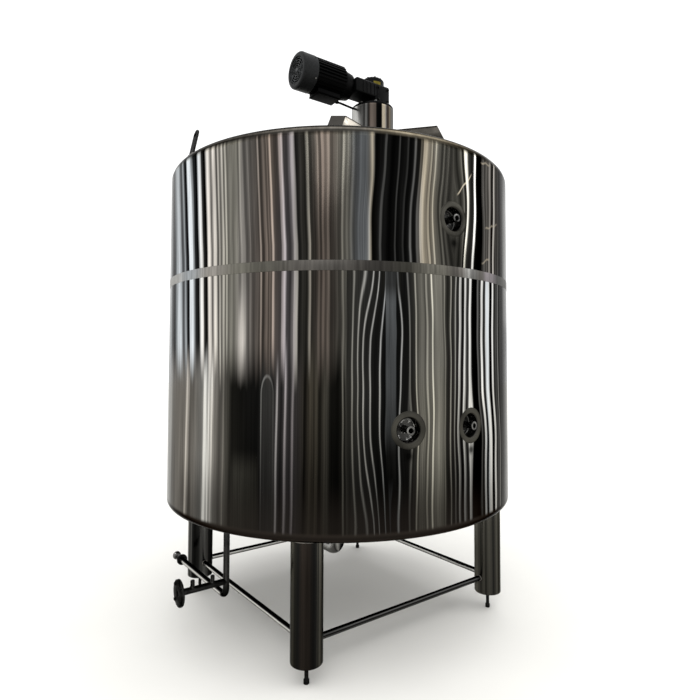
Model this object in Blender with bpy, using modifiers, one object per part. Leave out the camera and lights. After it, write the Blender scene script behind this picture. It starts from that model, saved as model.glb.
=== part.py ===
"""Jacketed mixing tank: an insulated upright vessel on four pipe legs, with a top-mounted gearmotor.

Metres, +Z up. The origin is on the vessel's axis at floor level, and -Y is the side with the three ports.
"""

import math

import bmesh
import bpy
from mathutils import Matrix, Vector

# Driving dimensions of the body
bodyRadius = 1.060
bodyBottom = 0.690
bodyTop = 2.665
skin = 0.006
topKnuckle = 0.065
bottomKnuckle = 0.035
roofSlope = math.radians(18)
bottomFlatRadius = 0.740
bottomSlope = math.radians(18)
bottomRingTop = 0.790
bandLow = 1.955
bandHigh = 2.005
gap = 0.0003
roundSteps = 80

# Legs, feet and the square of tie bars between the legs
legCircle = 0.940
legRadius = 0.0795
legBottom = 0.100
studRadius = 0.010
footPadRadius = 0.014
footPadHeight = 0.022
tieRadius = 0.016
tieHeight = 0.195
legAngles = {"front_left": 225, "front_right": 315, "rear_right": 45, "rear_left": 135}

# Ports: name, angle round the body in degrees, height of the centre
ports = (("lower_left", 252.4, 1.206), ("lower_right", 273.4, 1.206), ("upper", 266.9, 2.245))
portRingRadius = 0.091
portRingProud = 0.004
portCupRadius = 0.0585
portWall = 0.003
portDepth = 0.060
portNippleRadius = 0.0165
portFerruleRadius = 0.0215
portBoreRadius = 0.0125
portNippleReach = 0.079

# Agitator mount on the roof
pedestalX = 0.153
pedestalY = -0.152
pedestalRadius = 0.1365
pedestalTop = 3.175
ribTop = 3.026
ribSlope = math.radians(64)
# name, direction in degrees, reach, width, slant of the end face, offset to the side
ribs = (
    ("left", 196.5, 0.355, 0.0744, 0.719, 0.009),
    ("right", 309, 0.429, 0.085, 0.0, 0.0),
    ("rear", 72, 0.347, 0.085, 0.0, 0.0),
)

# Gearmotor, measured along the motor's axis from the pedestal's axis
motorAngle = math.radians(178)
motorHeight = 3.281
flangeThick = 0.015
gearFront = 0.067
gearNeck = 0.050
gearBack = 0.200
gearHalfWidth = 0.100
gearNeckSide = 0.040
gearUnder = 3.225
gearTop = 3.320
coverRadius = 0.075
coverTop = 3.383
adapterRadius = 0.092
adapterNeck = 0.080
adapterEnd = 0.272
bodyEnd = 0.480
finTip = 0.108
finRoot = 0.098
finCount = 32
cowlEnd = 0.578
cowlRadius = 0.110
boxStart = 0.290
boxEnd = 0.455
boxWidth = 0.110
boxBottom = 3.157
boxRoof = 0.072
conduitRadius = 0.007
conduitLow = 3.1645
conduitHigh = 3.158

# Inlet piping under the lower left edge
dropX = -0.840
dropY = -0.1385
pipeRadius = 0.0165
runHeight = 0.2737
runEnd = 0.540
runClampStart = 0.514
runClampEnd = 0.530
runClampRadius = 0.032
bendRadius = 0.042
branchHeight = 0.3525
branchFlangeX = -1.102
flangeRadius = 0.0682
flangePlate = 0.0135
stubRadius = 0.011
stubTop = 0.402
stubs = (-1.025, -0.917)

# Bottom outlet on the vessel's axis, and the roof's manway behind the agitator
outletRadius = 0.038
outletBend = 0.120
outletAxis = 0.303
outletEnd = 0.260
outletFerruleRadius = 0.0455
manwayAngle = math.radians(142)
manwayDistance = 0.560
manwayRadius = 0.225
manwayNeckTop = 2.914
manwayLidThick = 0.030

# Lifting lugs
lugWidth = 0.060
lugTop = 2.812
lugLean = math.radians(12)
lugThick = 0.010
lugBase = 1.012
lugHole = 0.014


def clearScene():
    for existing in list(bpy.data.objects):
        bpy.data.objects.remove(existing, do_unlink=True)


def makeCollection(name):
    collection = bpy.data.collections.new(name)
    bpy.context.scene.collection.children.link(collection)
    return collection


def makeMaterial(name, colour, metallic, roughness):
    material = bpy.data.materials.new(name)
    material.use_nodes = True
    shader = material.node_tree.nodes["Principled BSDF"]
    shader.inputs["Base Color"].default_value = (*colour, 1.0)
    shader.inputs["Metallic"].default_value = metallic
    shader.inputs["Roughness"].default_value = roughness
    return material


clearScene()
tank = makeCollection("jacketed_mixing_tank")
cutters = makeCollection("cutters")

mirrorSteel = makeMaterial("mirror stainless", (0.46, 0.45, 0.43), 1.0, 0.08)
satinSteel = makeMaterial("satin stainless", (0.52, 0.51, 0.48), 1.0, 0.34)
darkSteel = makeMaterial("stainless pipe", (0.30, 0.29, 0.28), 1.0, 0.22)
motorBlack = makeMaterial("black motor paint", (0.012, 0.012, 0.014), 0.0, 0.38)
cowlGrey = makeMaterial("graphite cowl paint", (0.045, 0.048, 0.052), 0.0, 0.42)
gearGreen = makeMaterial("dark green gearbox paint", (0.010, 0.020, 0.017), 0.0, 0.35)


def addObject(name, mesh, material, isCutter=False):
    made = bpy.data.objects.new(name, mesh)
    if isCutter:
        cutters.objects.link(made)
        made.hide_render = True
        made.display_type = "WIRE"
    else:
        tank.objects.link(made)
        mesh.materials.append(material)
    return made


def smooth(mesh, degrees=35):
    mesh.shade_smooth()
    mesh.set_sharp_from_angle(angle=math.radians(degrees))


def turned(name, profile, material, steps=roundSteps, isCutter=False, closed=False):
    """A profile of (radius, height) points, outer side first from top to bottom, turned about local Z."""
    mesh = bpy.data.meshes.new(name)
    count = len(profile)
    edges = [(i, i + 1) for i in range(count - 1)]
    if closed:
        edges.append((count - 1, 0))
    mesh.from_pydata([(r, 0.0, z) for r, z in profile], edges, [])
    made = addObject(name, mesh, material, isCutter)
    screw = made.modifiers.new("turn", "SCREW")
    screw.steps = steps
    screw.render_steps = steps
    screw.use_merge_vertices = True
    screw.merge_threshold = 0.0001
    screw.use_smooth_shade = True
    return made


def box(name, low, high, material, bevel=0.0, isCutter=False):
    """A box between two corners, in its own frame, with rounded edges where bevel is given."""
    built = bmesh.new()
    bmesh.ops.create_cube(built, size=1.0)
    size = [h - l for l, h in zip(low, high)]
    centre = [(h + l) / 2 for l, h in zip(low, high)]
    bmesh.ops.scale(built, vec=size, verts=built.verts)
    bmesh.ops.translate(built, vec=centre, verts=built.verts)
    mesh = bpy.data.meshes.new(name)
    built.to_mesh(mesh)
    built.free()
    made = addObject(name, mesh, material, isCutter)
    if bevel:
        rounded = made.modifiers.new("edges", "BEVEL")
        rounded.width = bevel
        rounded.segments = 2
    return made


def rod(name, radius, start, end, material, steps=32, isCutter=False):
    """A straight round bar between two points."""
    start, end = Vector(start), Vector(end)
    length = (end - start).length
    built = bmesh.new()
    bmesh.ops.create_cone(built, cap_ends=True, segments=steps, radius1=radius, radius2=radius, depth=length)
    mesh = bpy.data.meshes.new(name)
    built.to_mesh(mesh)
    built.free()
    made = addObject(name, mesh, material, isCutter)
    made.location = (start + end) / 2
    made.rotation_mode = "QUATERNION"
    made.rotation_quaternion = (end - start).to_track_quat("Z", "Y")
    if not isCutter:
        smooth(mesh)
    return made


def outline(name, points, thickness, material):
    """A flat closed outline in local XY, extruded evenly about local Z and made a mesh."""
    curve = bpy.data.curves.new(name + "_outline", "CURVE")
    curve.dimensions = "2D"
    curve.fill_mode = "BOTH"
    curve.extrude = thickness / 2
    spline = curve.splines.new("POLY")
    spline.points.add(len(points) - 1)
    for point, (x, y) in zip(spline.points, points):
        point.co = (x, y, 0.0, 1.0)
    spline.use_cyclic_u = True
    return curveToMesh(name, curve, material)


def tube(name, points, radius, material, bend, arcSteps=8):
    """A round pipe along straight runs joined by bends of one radius."""
    curve = bpy.data.curves.new(name + "_path", "CURVE")
    curve.dimensions = "3D"
    curve.bevel_depth = radius
    curve.bevel_resolution = 6
    curve.use_fill_caps = True
    route = roundedRoute([Vector(p) for p in points], bend, arcSteps)
    spline = curve.splines.new("POLY")
    spline.points.add(len(route) - 1)
    for point, place in zip(spline.points, route):
        point.co = (*place, 1.0)
    return curveToMesh(name, curve, material)


def roundedRoute(corners, bend, arcSteps):
    """The corners' polyline with each inner corner replaced by an arc of the bend radius."""
    route = [corners[0]]
    for before, corner, after in zip(corners, corners[1:], corners[2:]):
        inward = (before - corner).normalized()
        outward = (after - corner).normalized()
        half = inward.angle(outward) / 2
        setback = bend / math.tan(half)
        centre = corner + (inward + outward).normalized() * (bend / math.sin(half))
        first = corner + inward * setback - centre
        last = corner + outward * setback - centre
        sweep = first.angle(last)
        for i in range(arcSteps + 1):
            part = i / arcSteps
            a = math.sin((1 - part) * sweep) / math.sin(sweep)
            b = math.sin(part * sweep) / math.sin(sweep)
            route.append(centre + first * a + last * b)
    route.append(corners[-1])
    return route


def curveToMesh(name, curve, material):
    guide = bpy.data.objects.new(name + "_guide", curve)
    tank.objects.link(guide)
    bpy.context.view_layer.update()
    graph = bpy.context.evaluated_depsgraph_get()
    mesh = bpy.data.meshes.new_from_object(guide.evaluated_get(graph))
    bpy.data.objects.remove(guide, do_unlink=True)
    built = bmesh.new()
    built.from_mesh(mesh)
    bmesh.ops.remove_doubles(built, verts=built.verts, dist=0.00005)
    bmesh.ops.recalc_face_normals(built, faces=built.faces)
    built.to_mesh(mesh)
    built.free()
    mesh.materials.clear()
    smooth(mesh)
    return addObject(name, mesh, material)


def cut(piece, *tools):
    for tool in tools:
        step = piece.modifiers.new("cut " + tool.name, "BOOLEAN")
        step.operation = "DIFFERENCE"
        step.object = tool


def join(piece, *tools):
    for tool in tools:
        step = piece.modifiers.new("join " + tool.name, "BOOLEAN")
        step.operation = "UNION"
        step.object = tool


def arc(centreR, centreZ, radius, fromAngle, toAngle, steps):
    """Points of an arc in the (radius, height) plane, angles measured from the outward direction."""
    points = []
    for i in range(steps + 1):
        angle = fromAngle + (toAngle - fromAngle) * i / steps
        points.append((centreR + radius * math.cos(angle), centreZ + radius * math.sin(angle)))
    return points


def roofProfile(offset, steps=6):
    """Outer line of the roof from its apex down to the knuckle's foot, moved outwards by offset."""
    tangent = math.pi / 2 - roofSlope
    knuckle = arc(bodyRadius - topKnuckle, bodyTop - topKnuckle, topKnuckle + offset, tangent, 0.0, steps)
    startR, startZ = knuckle[0]
    return [(0.0, startZ + startR * math.tan(roofSlope))] + knuckle


def bottomProfile(offset, steps=4):
    """Outer line of the bottom from the ring's top, round the knuckle and along the flat to the cone's tip."""
    knuckle = arc(
        bodyRadius - bottomKnuckle, bodyBottom + bottomKnuckle, bottomKnuckle - offset, 0.0, -math.pi / 2, steps
    )
    flat = bodyBottom + offset
    tip = flat - bottomFlatRadius * math.tan(bottomSlope)
    return [(bodyRadius - offset, bottomRingTop)] + knuckle + [(bottomFlatRadius, flat), (0.0, tip)]


def buildBody():
    """The insulated body's outer shells: two courses, the seam between them, the roof, the bottom and its cone."""
    inner = bodyRadius - skin
    kneeTop = bodyTop - topKnuckle
    courses = {}
    spans = {
        "lower_cladding": (bottomRingTop + gap, bandLow, mirrorSteel),
        "seam_band": (bandLow + gap, bandHigh, satinSteel),
        "upper_cladding": (bandHigh + gap, kneeTop - gap, mirrorSteel),
    }
    for name, (low, high, material) in spans.items():
        ring = [(bodyRadius, high), (bodyRadius, low), (inner, low), (inner, high)]
        courses[name] = turned(name, ring, material, closed=True)
    turned("roof", roofProfile(0.0) + roofProfile(-skin, 3)[::-1], mirrorSteel)
    rim = bottomFlatRadius + gap
    turned(
        "bottom",
        bottomProfile(0.0)[:-2] + [(rim, bodyBottom), (rim, bodyBottom + skin)] + bottomProfile(skin, 2)[-3::-1],
        satinSteel, closed=True,
    )
    turned("bottom_cone", bottomProfile(skin)[:-3:-1] + bottomProfile(0.0)[-2:], satinSteel)
    return courses


def radialPlace(piece, angle, height, distance=bodyRadius):
    """Local Z points straight out from the body's axis at this angle."""
    piece.location = (distance * math.cos(angle), distance * math.sin(angle), height)
    piece.rotation_euler = (0.0, math.pi / 2, angle)


def buildPorts(courses):
    """Three recessed ports: a brushed ring with its cup, and the clamp nipple that stands in the cup."""
    outside = turned("body_outside", [
        (bodyRadius + gap, bodyTop), (bodyRadius + gap, bodyBottom),
        (bodyRadius - 0.03, bodyBottom), (bodyRadius - 0.03, bodyTop),
    ], None, isCutter=True, closed=True)
    outer = portCupRadius + portWall
    floor = -portDepth
    for name, degrees, height in ports:
        angle = math.radians(degrees)
        ring = turned("port_" + name, [
            (portRingRadius, portRingProud), (portRingRadius, -0.014),
            (outer - 0.001, -0.014), (outer - 0.001, portRingProud),
        ], satinSteel, steps=48, closed=True)
        cup = turned("cup_" + name, [
            (0.0, floor + portWall), (portCupRadius, floor + portWall), (portCupRadius, portRingProud - 0.0005),
            (outer, portRingProud - 0.0005), (outer, floor), (0.0, floor),
        ], None, steps=48, isCutter=True)
        hole = rod("hole_" + name, outer + gap, (0, 0, -0.05), (0, 0, 0.05), None, steps=48, isCutter=True)
        reach = floor + portWall + gap
        mouth = reach + portNippleReach
        nipple = turned("port_nipple_" + name, [
            (0.0, reach + portWall), (portBoreRadius, reach + portWall), (portBoreRadius, mouth),
            (portFerruleRadius, mouth), (portFerruleRadius, mouth - 0.006),
            (portNippleRadius, mouth - 0.010), (portNippleRadius, reach), (0.0, reach),
        ], darkSteel, steps=32)
        for piece in (ring, cup, nipple):
            radialPlace(piece, angle, height)
        hole.location = (bodyRadius * math.cos(angle), bodyRadius * math.sin(angle), height)
        hole.rotation_mode = "XYZ"
        hole.rotation_euler = (0.0, math.pi / 2, angle)
        cut(ring, outside)
        join(ring, cup)
        course = "upper_cladding" if height > bandHigh else "lower_cladding"
        cut(courses[course], hole)


def legPlace(side):
    angle = math.radians(legAngles[side])
    return legCircle * math.cos(angle), legCircle * math.sin(angle)


def buildLegs():
    """Four pipe legs with threaded feet, and the tie bars between them, coped to the legs."""
    copes = {}
    for side in legAngles:
        x, y = legPlace(side)
        rod("leg_" + side, legRadius, (x, y, legBottom), (x, y, bodyBottom - gap), mirrorSteel, steps=48)
        foot = turned("foot_" + side, [
            (0.0, legBottom - gap), (studRadius, legBottom - gap), (studRadius, footPadHeight),
            (footPadRadius, footPadHeight), (footPadRadius, 0.0), (0.0, 0.0),
        ], satinSteel, steps=24)
        foot.location = (x, y, 0.0)
        copes[side] = rod("cope_" + side, legRadius + gap, (x, y, 0.1), (x, y, 0.3), None, steps=48, isCutter=True)
    pairs = {
        "front": ("front_left", "front_right"), "right": ("front_right", "rear_right"),
        "rear": ("rear_right", "rear_left"), "left": ("rear_left", "front_left"),
    }
    for name, (a, b) in pairs.items():
        ax, ay = legPlace(a)
        bx, by = legPlace(b)
        bar = rod("tie_bar_" + name, tieRadius, (ax, ay, tieHeight), (bx, by, tieHeight), satinSteel, steps=24)
        cut(bar, copes[a], copes[b])


def buildPedestal(roofCutter):
    """The agitator's upright pedestal, its flange and the three folded ribs that brace it to the roof."""
    foot = bodyTop
    pedestal = rod(
        "pedestal", pedestalRadius, (pedestalX, pedestalY, foot), (pedestalX, pedestalY, pedestalTop),
        mirrorSteel, steps=64,
    )
    cut(pedestal, roofCutter)
    rod(
        "pedestal_flange", pedestalRadius, (pedestalX, pedestalY, pedestalTop + gap),
        (pedestalX, pedestalY, pedestalTop + flangeThick), gearGreen, steps=64,
    )
    around = rod(
        "pedestal_around", pedestalRadius + gap, (pedestalX, pedestalY, foot - 0.1),
        (pedestalX, pedestalY, pedestalTop), None, steps=64, isCutter=True,
    )
    height = ribTop - foot
    for name, degrees, reach, width, slant, aside in ribs:
        spread = height / math.tan(ribSlope)
        shape = [(0.05, foot), (reach + spread, foot), (reach, ribTop), (0.05, ribTop)]
        rib = outline("roof_rib_" + name, shape, width, mirrorSteel)
        lean = Matrix.Identity(4)
        lean[0][2] = slant
        rib.data.transform(lean)
        turn = math.radians(degrees)
        rib.location = (pedestalX + aside * math.sin(turn), pedestalY - aside * math.cos(turn), 0.0)
        rib.rotation_euler = (math.pi / 2, 0.0, turn)
        cut(rib, roofCutter, around)


def buildGearmotor():
    """Right-angle gearmotor: everything is placed along the motor's axis under one turned empty."""
    mount = bpy.data.objects.new("gearmotor_axis", None)
    tank.objects.link(mount)
    mount.location = (pedestalX, pedestalY, 0.0)
    mount.rotation_euler = (0.0, 0.0, motorAngle)
    gearFoot = pedestalTop + flangeThick + gap
    housing = box(
        "gearbox_housing", (-gearFront, -gearHalfWidth, gearFoot), (gearNeck, gearHalfWidth, gearTop),
        gearGreen, bevel=0.014,
    )
    neck = box(
        "gearbox_neck", (gearNeck - 0.040, -gearNeckSide, gearUnder), (gearBack, gearHalfWidth, gearTop), None,
        bevel=0.014, isCutter=True,
    )
    join(housing, neck)
    cover = turned("gearbox_cover", [
        (0.0, coverTop), (coverRadius - 0.012, coverTop), (coverRadius, coverTop - 0.012),
        (coverRadius, gearTop + gap), (0.0, gearTop + gap),
    ], gearGreen, steps=40)
    adapter = alongMotor("motor_adapter", [
        (0.0, adapterEnd), (adapterRadius, adapterEnd), (adapterNeck, gearBack + gap), (0.0, gearBack + gap),
    ], motorBlack, 48)
    teeth = []
    for i in range(finCount):
        for offset, radius in ((-0.30, finRoot), (-0.18, finTip), (0.18, finTip), (0.30, finRoot)):
            angle = (i + offset) * math.tau / finCount
            teeth.append((radius * math.cos(angle), radius * math.sin(angle)))
    bodyStart = adapterEnd + gap
    body = outline("motor_body", teeth, bodyEnd - bodyStart, motorBlack)
    body.location = ((bodyEnd + bodyStart) / 2, 0.0, motorHeight)
    body.rotation_euler = (0.0, math.pi / 2, 0.0)
    rim = cowlRadius - 0.020
    cowl = alongMotor("fan_cowl", [
        (0.0, cowlEnd - 0.004), (rim - 0.004, cowlEnd - 0.004), (rim, cowlEnd)
    ] + [
        (rim + 0.020 * math.sin(a), cowlEnd - 0.020 + 0.020 * math.cos(a))
        for a in (math.radians(d) for d in (30, 60, 90))
    ] + [(cowlRadius, bodyEnd + gap), (0.0, bodyEnd + gap)], cowlGrey, 64)
    terminal = box(
        "terminal_box", (boxStart, -boxWidth / 2, boxBottom), (boxEnd, boxWidth / 2, motorHeight - boxRoof),
        motorBlack, bevel=0.008,
    )
    clear = rod(
        "motor_clear", cowlRadius + gap, (boxStart - 0.1, 0, motorHeight), (boxEnd + 0.1, 0, motorHeight),
        None, steps=64, isCutter=True,
    )
    cut(terminal, clear)
    conduit = tube("motor_conduit", [
        (boxStart - gap, 0.0, conduitLow), (boxStart - 0.035, 0.0, conduitLow),
        (pedestalRadius + 0.035, 0.0, conduitHigh), (pedestalRadius + gap, 0.0, conduitHigh),
    ], conduitRadius, motorBlack, bend=0.030, arcSteps=3)
    for piece in (housing, neck, cover, adapter, body, cowl, terminal, clear, conduit):
        piece.parent = mount


def alongMotor(name, profile, material, steps):
    """A turned piece whose own axis lies along the motor: a profile of (radius, distance) points."""
    made = turned(name, profile, material, steps)
    made.location = (0.0, 0.0, motorHeight)
    made.rotation_euler = (0.0, math.pi / 2, 0.0)
    return made


def buildPiping():
    """Jacket inlet: a drop pipe that turns along the side, and a flanged branch with two small stubs."""
    drop = tube("jacket_drop_pipe", [
        (dropX, dropY, bodyBottom - gap), (dropX, dropY, runHeight), (dropX, runEnd, runHeight),
    ], pipeRadius, darkSteel, bend=bendRadius)
    cope = rod(
        "cope_drop", pipeRadius + gap, (dropX, dropY, runHeight + bendRadius), (dropX, dropY, bodyBottom), None,
        steps=32, isCutter=True,
    )
    branchEnd = branchFlangeX + flangePlate + gap
    branch = rod(
        "branch_pipe", pipeRadius, (dropX, dropY, branchHeight), (branchEnd, dropY, branchHeight), darkSteel, steps=24,
    )
    cut(branch, cope)
    for i, x in enumerate(stubs):
        stub = rod(
            "stub_tool_" + str(i), stubRadius, (x, dropY, branchHeight), (x, dropY, stubTop), None,
            steps=16, isCutter=True,
        )
        join(branch, stub)
    bore = pipeRadius - 0.003
    flange = turned("branch_flange", [
        (flangeRadius, flangePlate), (flangeRadius, 0.0), (bore, 0.0), (bore, flangePlate),
    ], darkSteel, steps=40, closed=True)
    flange.location = (branchFlangeX, dropY, branchHeight)
    flange.rotation_euler = (0.0, math.pi / 2, 0.0)
    end = turned("run_ferrule", [
        (0.0252, 0.080), (0.0252, 0.074), (pipeRadius, 0.068), (pipeRadius, gap), (bore, gap), (bore, 0.080),
    ], satinSteel, steps=32, closed=True)
    end.location = (dropX, runEnd, runHeight)
    clamp = turned("run_clamp", [
        (runClampRadius - 0.003, runClampEnd), (runClampRadius, runClampEnd - 0.003),
        (runClampRadius, runClampStart + 0.003), (runClampRadius - 0.003, runClampStart),
        (pipeRadius + gap, runClampStart), (pipeRadius + gap, runClampEnd),
    ], satinSteel, steps=32, closed=True)
    clamp.location = (dropX, 0.0, runHeight)
    for piece in (end, clamp):
        piece.rotation_euler = (-math.pi / 2, 0.0, 0.0)


def buildOutlet(bottomCutter):
    """The bottom outlet: a short stub from the cone's tip, an elbow to the rear and its clamp ferrule."""
    pipe = tube("outlet_elbow", [
        (0.0, 0.0, bodyBottom), (0.0, 0.0, outletAxis), (0.0, outletEnd, outletAxis),
    ], outletRadius, darkSteel, bend=outletBend)
    cut(pipe, bottomCutter)
    ferrule = turned("outlet_ferrule", [
        (outletFerruleRadius, 0.045), (outletFerruleRadius, 0.038), (outletRadius, 0.030), (outletRadius, gap),
        (outletRadius - 0.003, gap), (outletRadius - 0.003, 0.045),
    ], satinSteel, steps=40, closed=True)
    ferrule.location = (0.0, outletEnd, outletAxis)
    ferrule.rotation_euler = (-math.pi / 2, 0.0, 0.0)


def buildManway(roofCutter):
    """The closed round manway behind the agitator: a short neck on the cone and its flat lid."""
    x = manwayDistance * math.cos(manwayAngle)
    y = manwayDistance * math.sin(manwayAngle)
    neck = rod(
        "manway_neck", manwayRadius, (x, y, bodyTop), (x, y, manwayNeckTop), mirrorSteel, steps=48,
    )
    cut(neck, roofCutter)
    lid = turned("manway_lid", [
        (0.0, manwayLidThick + 0.012), (manwayRadius - 0.05, manwayLidThick + 0.012),
        (manwayRadius + 0.006, manwayLidThick - 0.012), (manwayRadius + 0.010, manwayLidThick - 0.020),
        (manwayRadius + 0.010, gap), (0.0, gap),
    ], mirrorSteel, steps=48)
    lid.location = (x, y, manwayNeckTop)


def buildLugs(roofCutter):
    """Two lifting ears on the shoulder, leaning in towards the hook."""
    length = (lugTop - bodyTop) / math.cos(lugLean) + 0.05
    half = lugWidth / 2
    shape = [(-half, 0.0), (half, 0.0)]
    for i in range(13):
        angle = math.pi * i / 12
        shape.append((half * math.cos(angle), length - half + half * math.sin(angle)))
    for name, turn in (("left", math.pi), ("right", 0.0)):
        lug = outline("lifting_lug_" + name, shape, lugThick, satinSteel)
        hole = rod(
            "lug_hole_" + name, lugHole, (0, length - half, -0.05), (0, length - half, 0.05), None,
            steps=24, isCutter=True,
        )
        foot = bpy.data.objects.new("lug_foot_" + name, None)
        tank.objects.link(foot)
        base = lugBase + 0.05 * math.sin(lugLean)
        foot.location = (base * math.cos(turn), base * math.sin(turn), bodyTop - 0.05 * math.cos(lugLean))
        foot.rotation_euler = (math.pi / 2 - lugLean, 0.0, turn + math.pi / 2)
        lug.parent = foot
        hole.parent = foot
        cut(lug, hole, roofCutter)


def solidCutter(name, line, closing):
    """A solid of the given outer line, closed by the extra points on and beside the axis."""
    return turned(name, line + closing, None, isCutter=True)


courses = buildBody()
buildPorts(courses)
buildLegs()
roofCutter = solidCutter("under_roof", roofProfile(0.0004), [(bodyRadius + 0.0004, 2.3), (0.0, 2.3)])
buildPedestal(roofCutter)
buildGearmotor()
buildPiping()
bottomLine = bottomProfile(-0.0004)
bottomCutter = solidCutter("over_bottom", [(0.0, 1.5), (bodyRadius + 0.0004, 1.5)], bottomLine)
buildOutlet(bottomCutter)
buildManway(roofCutter)
buildLugs(roofCutter)
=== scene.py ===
import math

import bmesh
import bpy
import numpy as np
from mathutils import Matrix


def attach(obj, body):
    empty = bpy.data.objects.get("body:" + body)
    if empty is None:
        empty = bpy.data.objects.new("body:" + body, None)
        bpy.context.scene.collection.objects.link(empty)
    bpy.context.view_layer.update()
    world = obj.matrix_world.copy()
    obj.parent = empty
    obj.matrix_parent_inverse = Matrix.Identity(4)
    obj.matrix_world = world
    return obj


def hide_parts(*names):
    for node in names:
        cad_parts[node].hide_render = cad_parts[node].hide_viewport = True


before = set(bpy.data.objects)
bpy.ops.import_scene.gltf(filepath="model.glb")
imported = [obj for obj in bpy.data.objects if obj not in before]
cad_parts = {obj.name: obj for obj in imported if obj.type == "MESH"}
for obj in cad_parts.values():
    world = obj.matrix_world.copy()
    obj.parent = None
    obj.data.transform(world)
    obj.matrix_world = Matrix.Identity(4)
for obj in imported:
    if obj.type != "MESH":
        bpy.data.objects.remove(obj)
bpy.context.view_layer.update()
print("frame loaded with", len(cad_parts), "nodes")

# Sizes that several pieces share, in metres and degrees
tank = {
    "radius": 1.060, "bottom": 0.690, "top": 2.665, "sheet": 0.006, "gap": 0.0003,
    "topKnuckle": 0.065, "bottomKnuckle": 0.035, "roofSlope": 18.0,
    "flatRadius": 0.740, "bottomSlope": 18.0, "ringTop": 0.790,
    "bandLow": 1.955, "bandHigh": 2.005, "stepsRound": 384,
}
portPlaces = {"lower_left": (252.4, 1.206), "lower_right": (273.4, 1.206), "upper": (266.9, 2.245)}
gap = tank["gap"]
roofTilt = math.radians(tank["roofSlope"])


def link(thing):
    bpy.context.scene.collection.objects.link(thing)
    return thing


def unit(vector):
    return vector / np.linalg.norm(vector, axis=-1, keepdims=True)


# The outward and the sideways direction at an angle round an upright axis
def directions(degrees):
    a = math.radians(degrees)
    return np.array([math.cos(a), math.sin(a), 0.0]), np.array([-math.sin(a), math.cos(a), 0.0])


# Four-cornered faces between neighbours of a grid that is rows long and columns wide
def gridFaces(rows, columns, start=0):
    i, j = np.meshgrid(np.arange(rows - 1), np.arange(columns - 1), indexing="ij")
    first = start + i * columns + j
    return np.stack([first, first + 1, first + columns + 1, first + columns], axis=2).reshape(-1, 4)


# A sheet round the tank's axis gets a thickness: its faces again further in and turned round, and a wall along
# each edge that only one face uses
def thicken(points, faces, thickness):
    points, index = np.unique(np.round(points, 6), axis=0, return_inverse=True)
    faces = index.reshape(-1)[faces]
    share = 1 - thickness / np.hypot(points[:, 0], points[:, 1])
    inner = points * np.column_stack([share, share, np.ones_like(share)])
    edges = np.stack([faces, np.roll(faces, -1, axis=1)], axis=2).reshape(-1, 2)
    _, which, uses = np.unique(np.sort(edges, axis=1), axis=0, return_inverse=True, return_counts=True)
    free = edges[uses[which.reshape(-1)] == 1]
    walls = np.stack([free[:, 1], free[:, 0], free[:, 0] + len(points), free[:, 1] + len(points)], axis=1)
    return np.concatenate([points, inner]), np.concatenate([faces, faces[:, ::-1] + len(points), walls])


# One closed piece from one or more grids of points. Points that meet are merged, which closes seams and poles.
def makePiece(name, grids, material, node=None, sharp=35, keep=None, sheet=0.0):
    points, faces, start = [], [], 0
    for grid in grids:
        rows, columns = grid.shape[:2]
        points.append(grid.reshape(-1, 3))
        faces.append(gridFaces(rows, columns, start))
        start += rows * columns
    points, faces = np.concatenate(points), np.concatenate(faces)
    if keep is not None:
        faces = faces[keep(points[faces].mean(axis=1))]
    if sheet:
        points, faces = thicken(points, faces, sheet)
    mesh = bpy.data.meshes.new(name)
    mesh.from_pydata(points.tolist(), [], faces.tolist())
    built = bmesh.new()
    built.from_mesh(mesh)
    bmesh.ops.remove_doubles(built, verts=built.verts, dist=0.00001)
    bmesh.ops.delete(built, geom=[v for v in built.verts if not v.link_faces], context="VERTS")
    bmesh.ops.recalc_face_normals(built, faces=built.faces)
    built.to_mesh(mesh)
    built.free()
    mesh.shade_smooth()
    mesh.set_sharp_from_angle(angle=math.radians(sharp))
    mesh.materials.append(material)
    piece = link(bpy.data.objects.new(name, mesh))
    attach(piece, "root")
    if node:
        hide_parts(node)


# A line with its corners rounded: each corner becomes the circle arc that touches both sides, written as a
# weighted curve ((1-t)^2 A + 2wt(1-t) C + t^2 B) / ((1-t)^2 + 2wt(1-t) + t^2), w being the cosine of half the turn
def roundedLine(points, radius, steps=5, closed=False):
    p = np.array(points, float)
    toBack = np.roll(p, 1, axis=0) - p
    toNext = np.roll(p, -1, axis=0) - p
    back = np.linalg.norm(toBack, axis=1, keepdims=True)
    ahead = np.linalg.norm(toNext, axis=1, keepdims=True)
    toBack, toNext = toBack / back, toNext / ahead
    turn = np.clip(-(toBack * toNext).sum(axis=1, keepdims=True), -0.999, 1.0)
    reach = np.array(radius, float).reshape(-1, 1) * np.sqrt((1 - turn) / (1 + turn))
    reach = np.minimum(reach, 0.499 * np.minimum(back, ahead))
    weight = np.sqrt((1 + turn) / 2)[:, None]
    t = np.linspace(0, 1, steps + 1)[None, :, None]
    a, b = (p + toBack * reach)[:, None], (p + toNext * reach)[:, None]
    arcs = (1 - t) ** 2 * a + 2 * weight * t * (1 - t) * p[:, None] + t ** 2 * b
    arcs = arcs / ((1 - t) ** 2 + 2 * weight * t * (1 - t) + t ** 2)
    if closed:
        line = arcs.reshape(-1, p.shape[1])
        return np.concatenate([line, line[:1]])
    return np.concatenate([p[:1], arcs[1:-1].reshape(-1, p.shape[1]), p[-1:]])


# A grid closed at both ends by a row that stays on one point
def capped(grid, first, last):
    ends = np.ones((1, grid.shape[1], 1))
    return np.concatenate([ends * first, grid, ends * last])


# A profile of (radius, height) turned round an axis: x = r cos a, y = r sin a, z = h
def revolve(profile, steps):
    r, h = np.array(profile, float).T
    a = np.linspace(0, math.tau, steps + 1)
    return np.stack([np.outer(r, np.cos(a)), np.outer(r, np.sin(a)), np.outer(h, np.ones_like(a))], axis=2)


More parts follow.
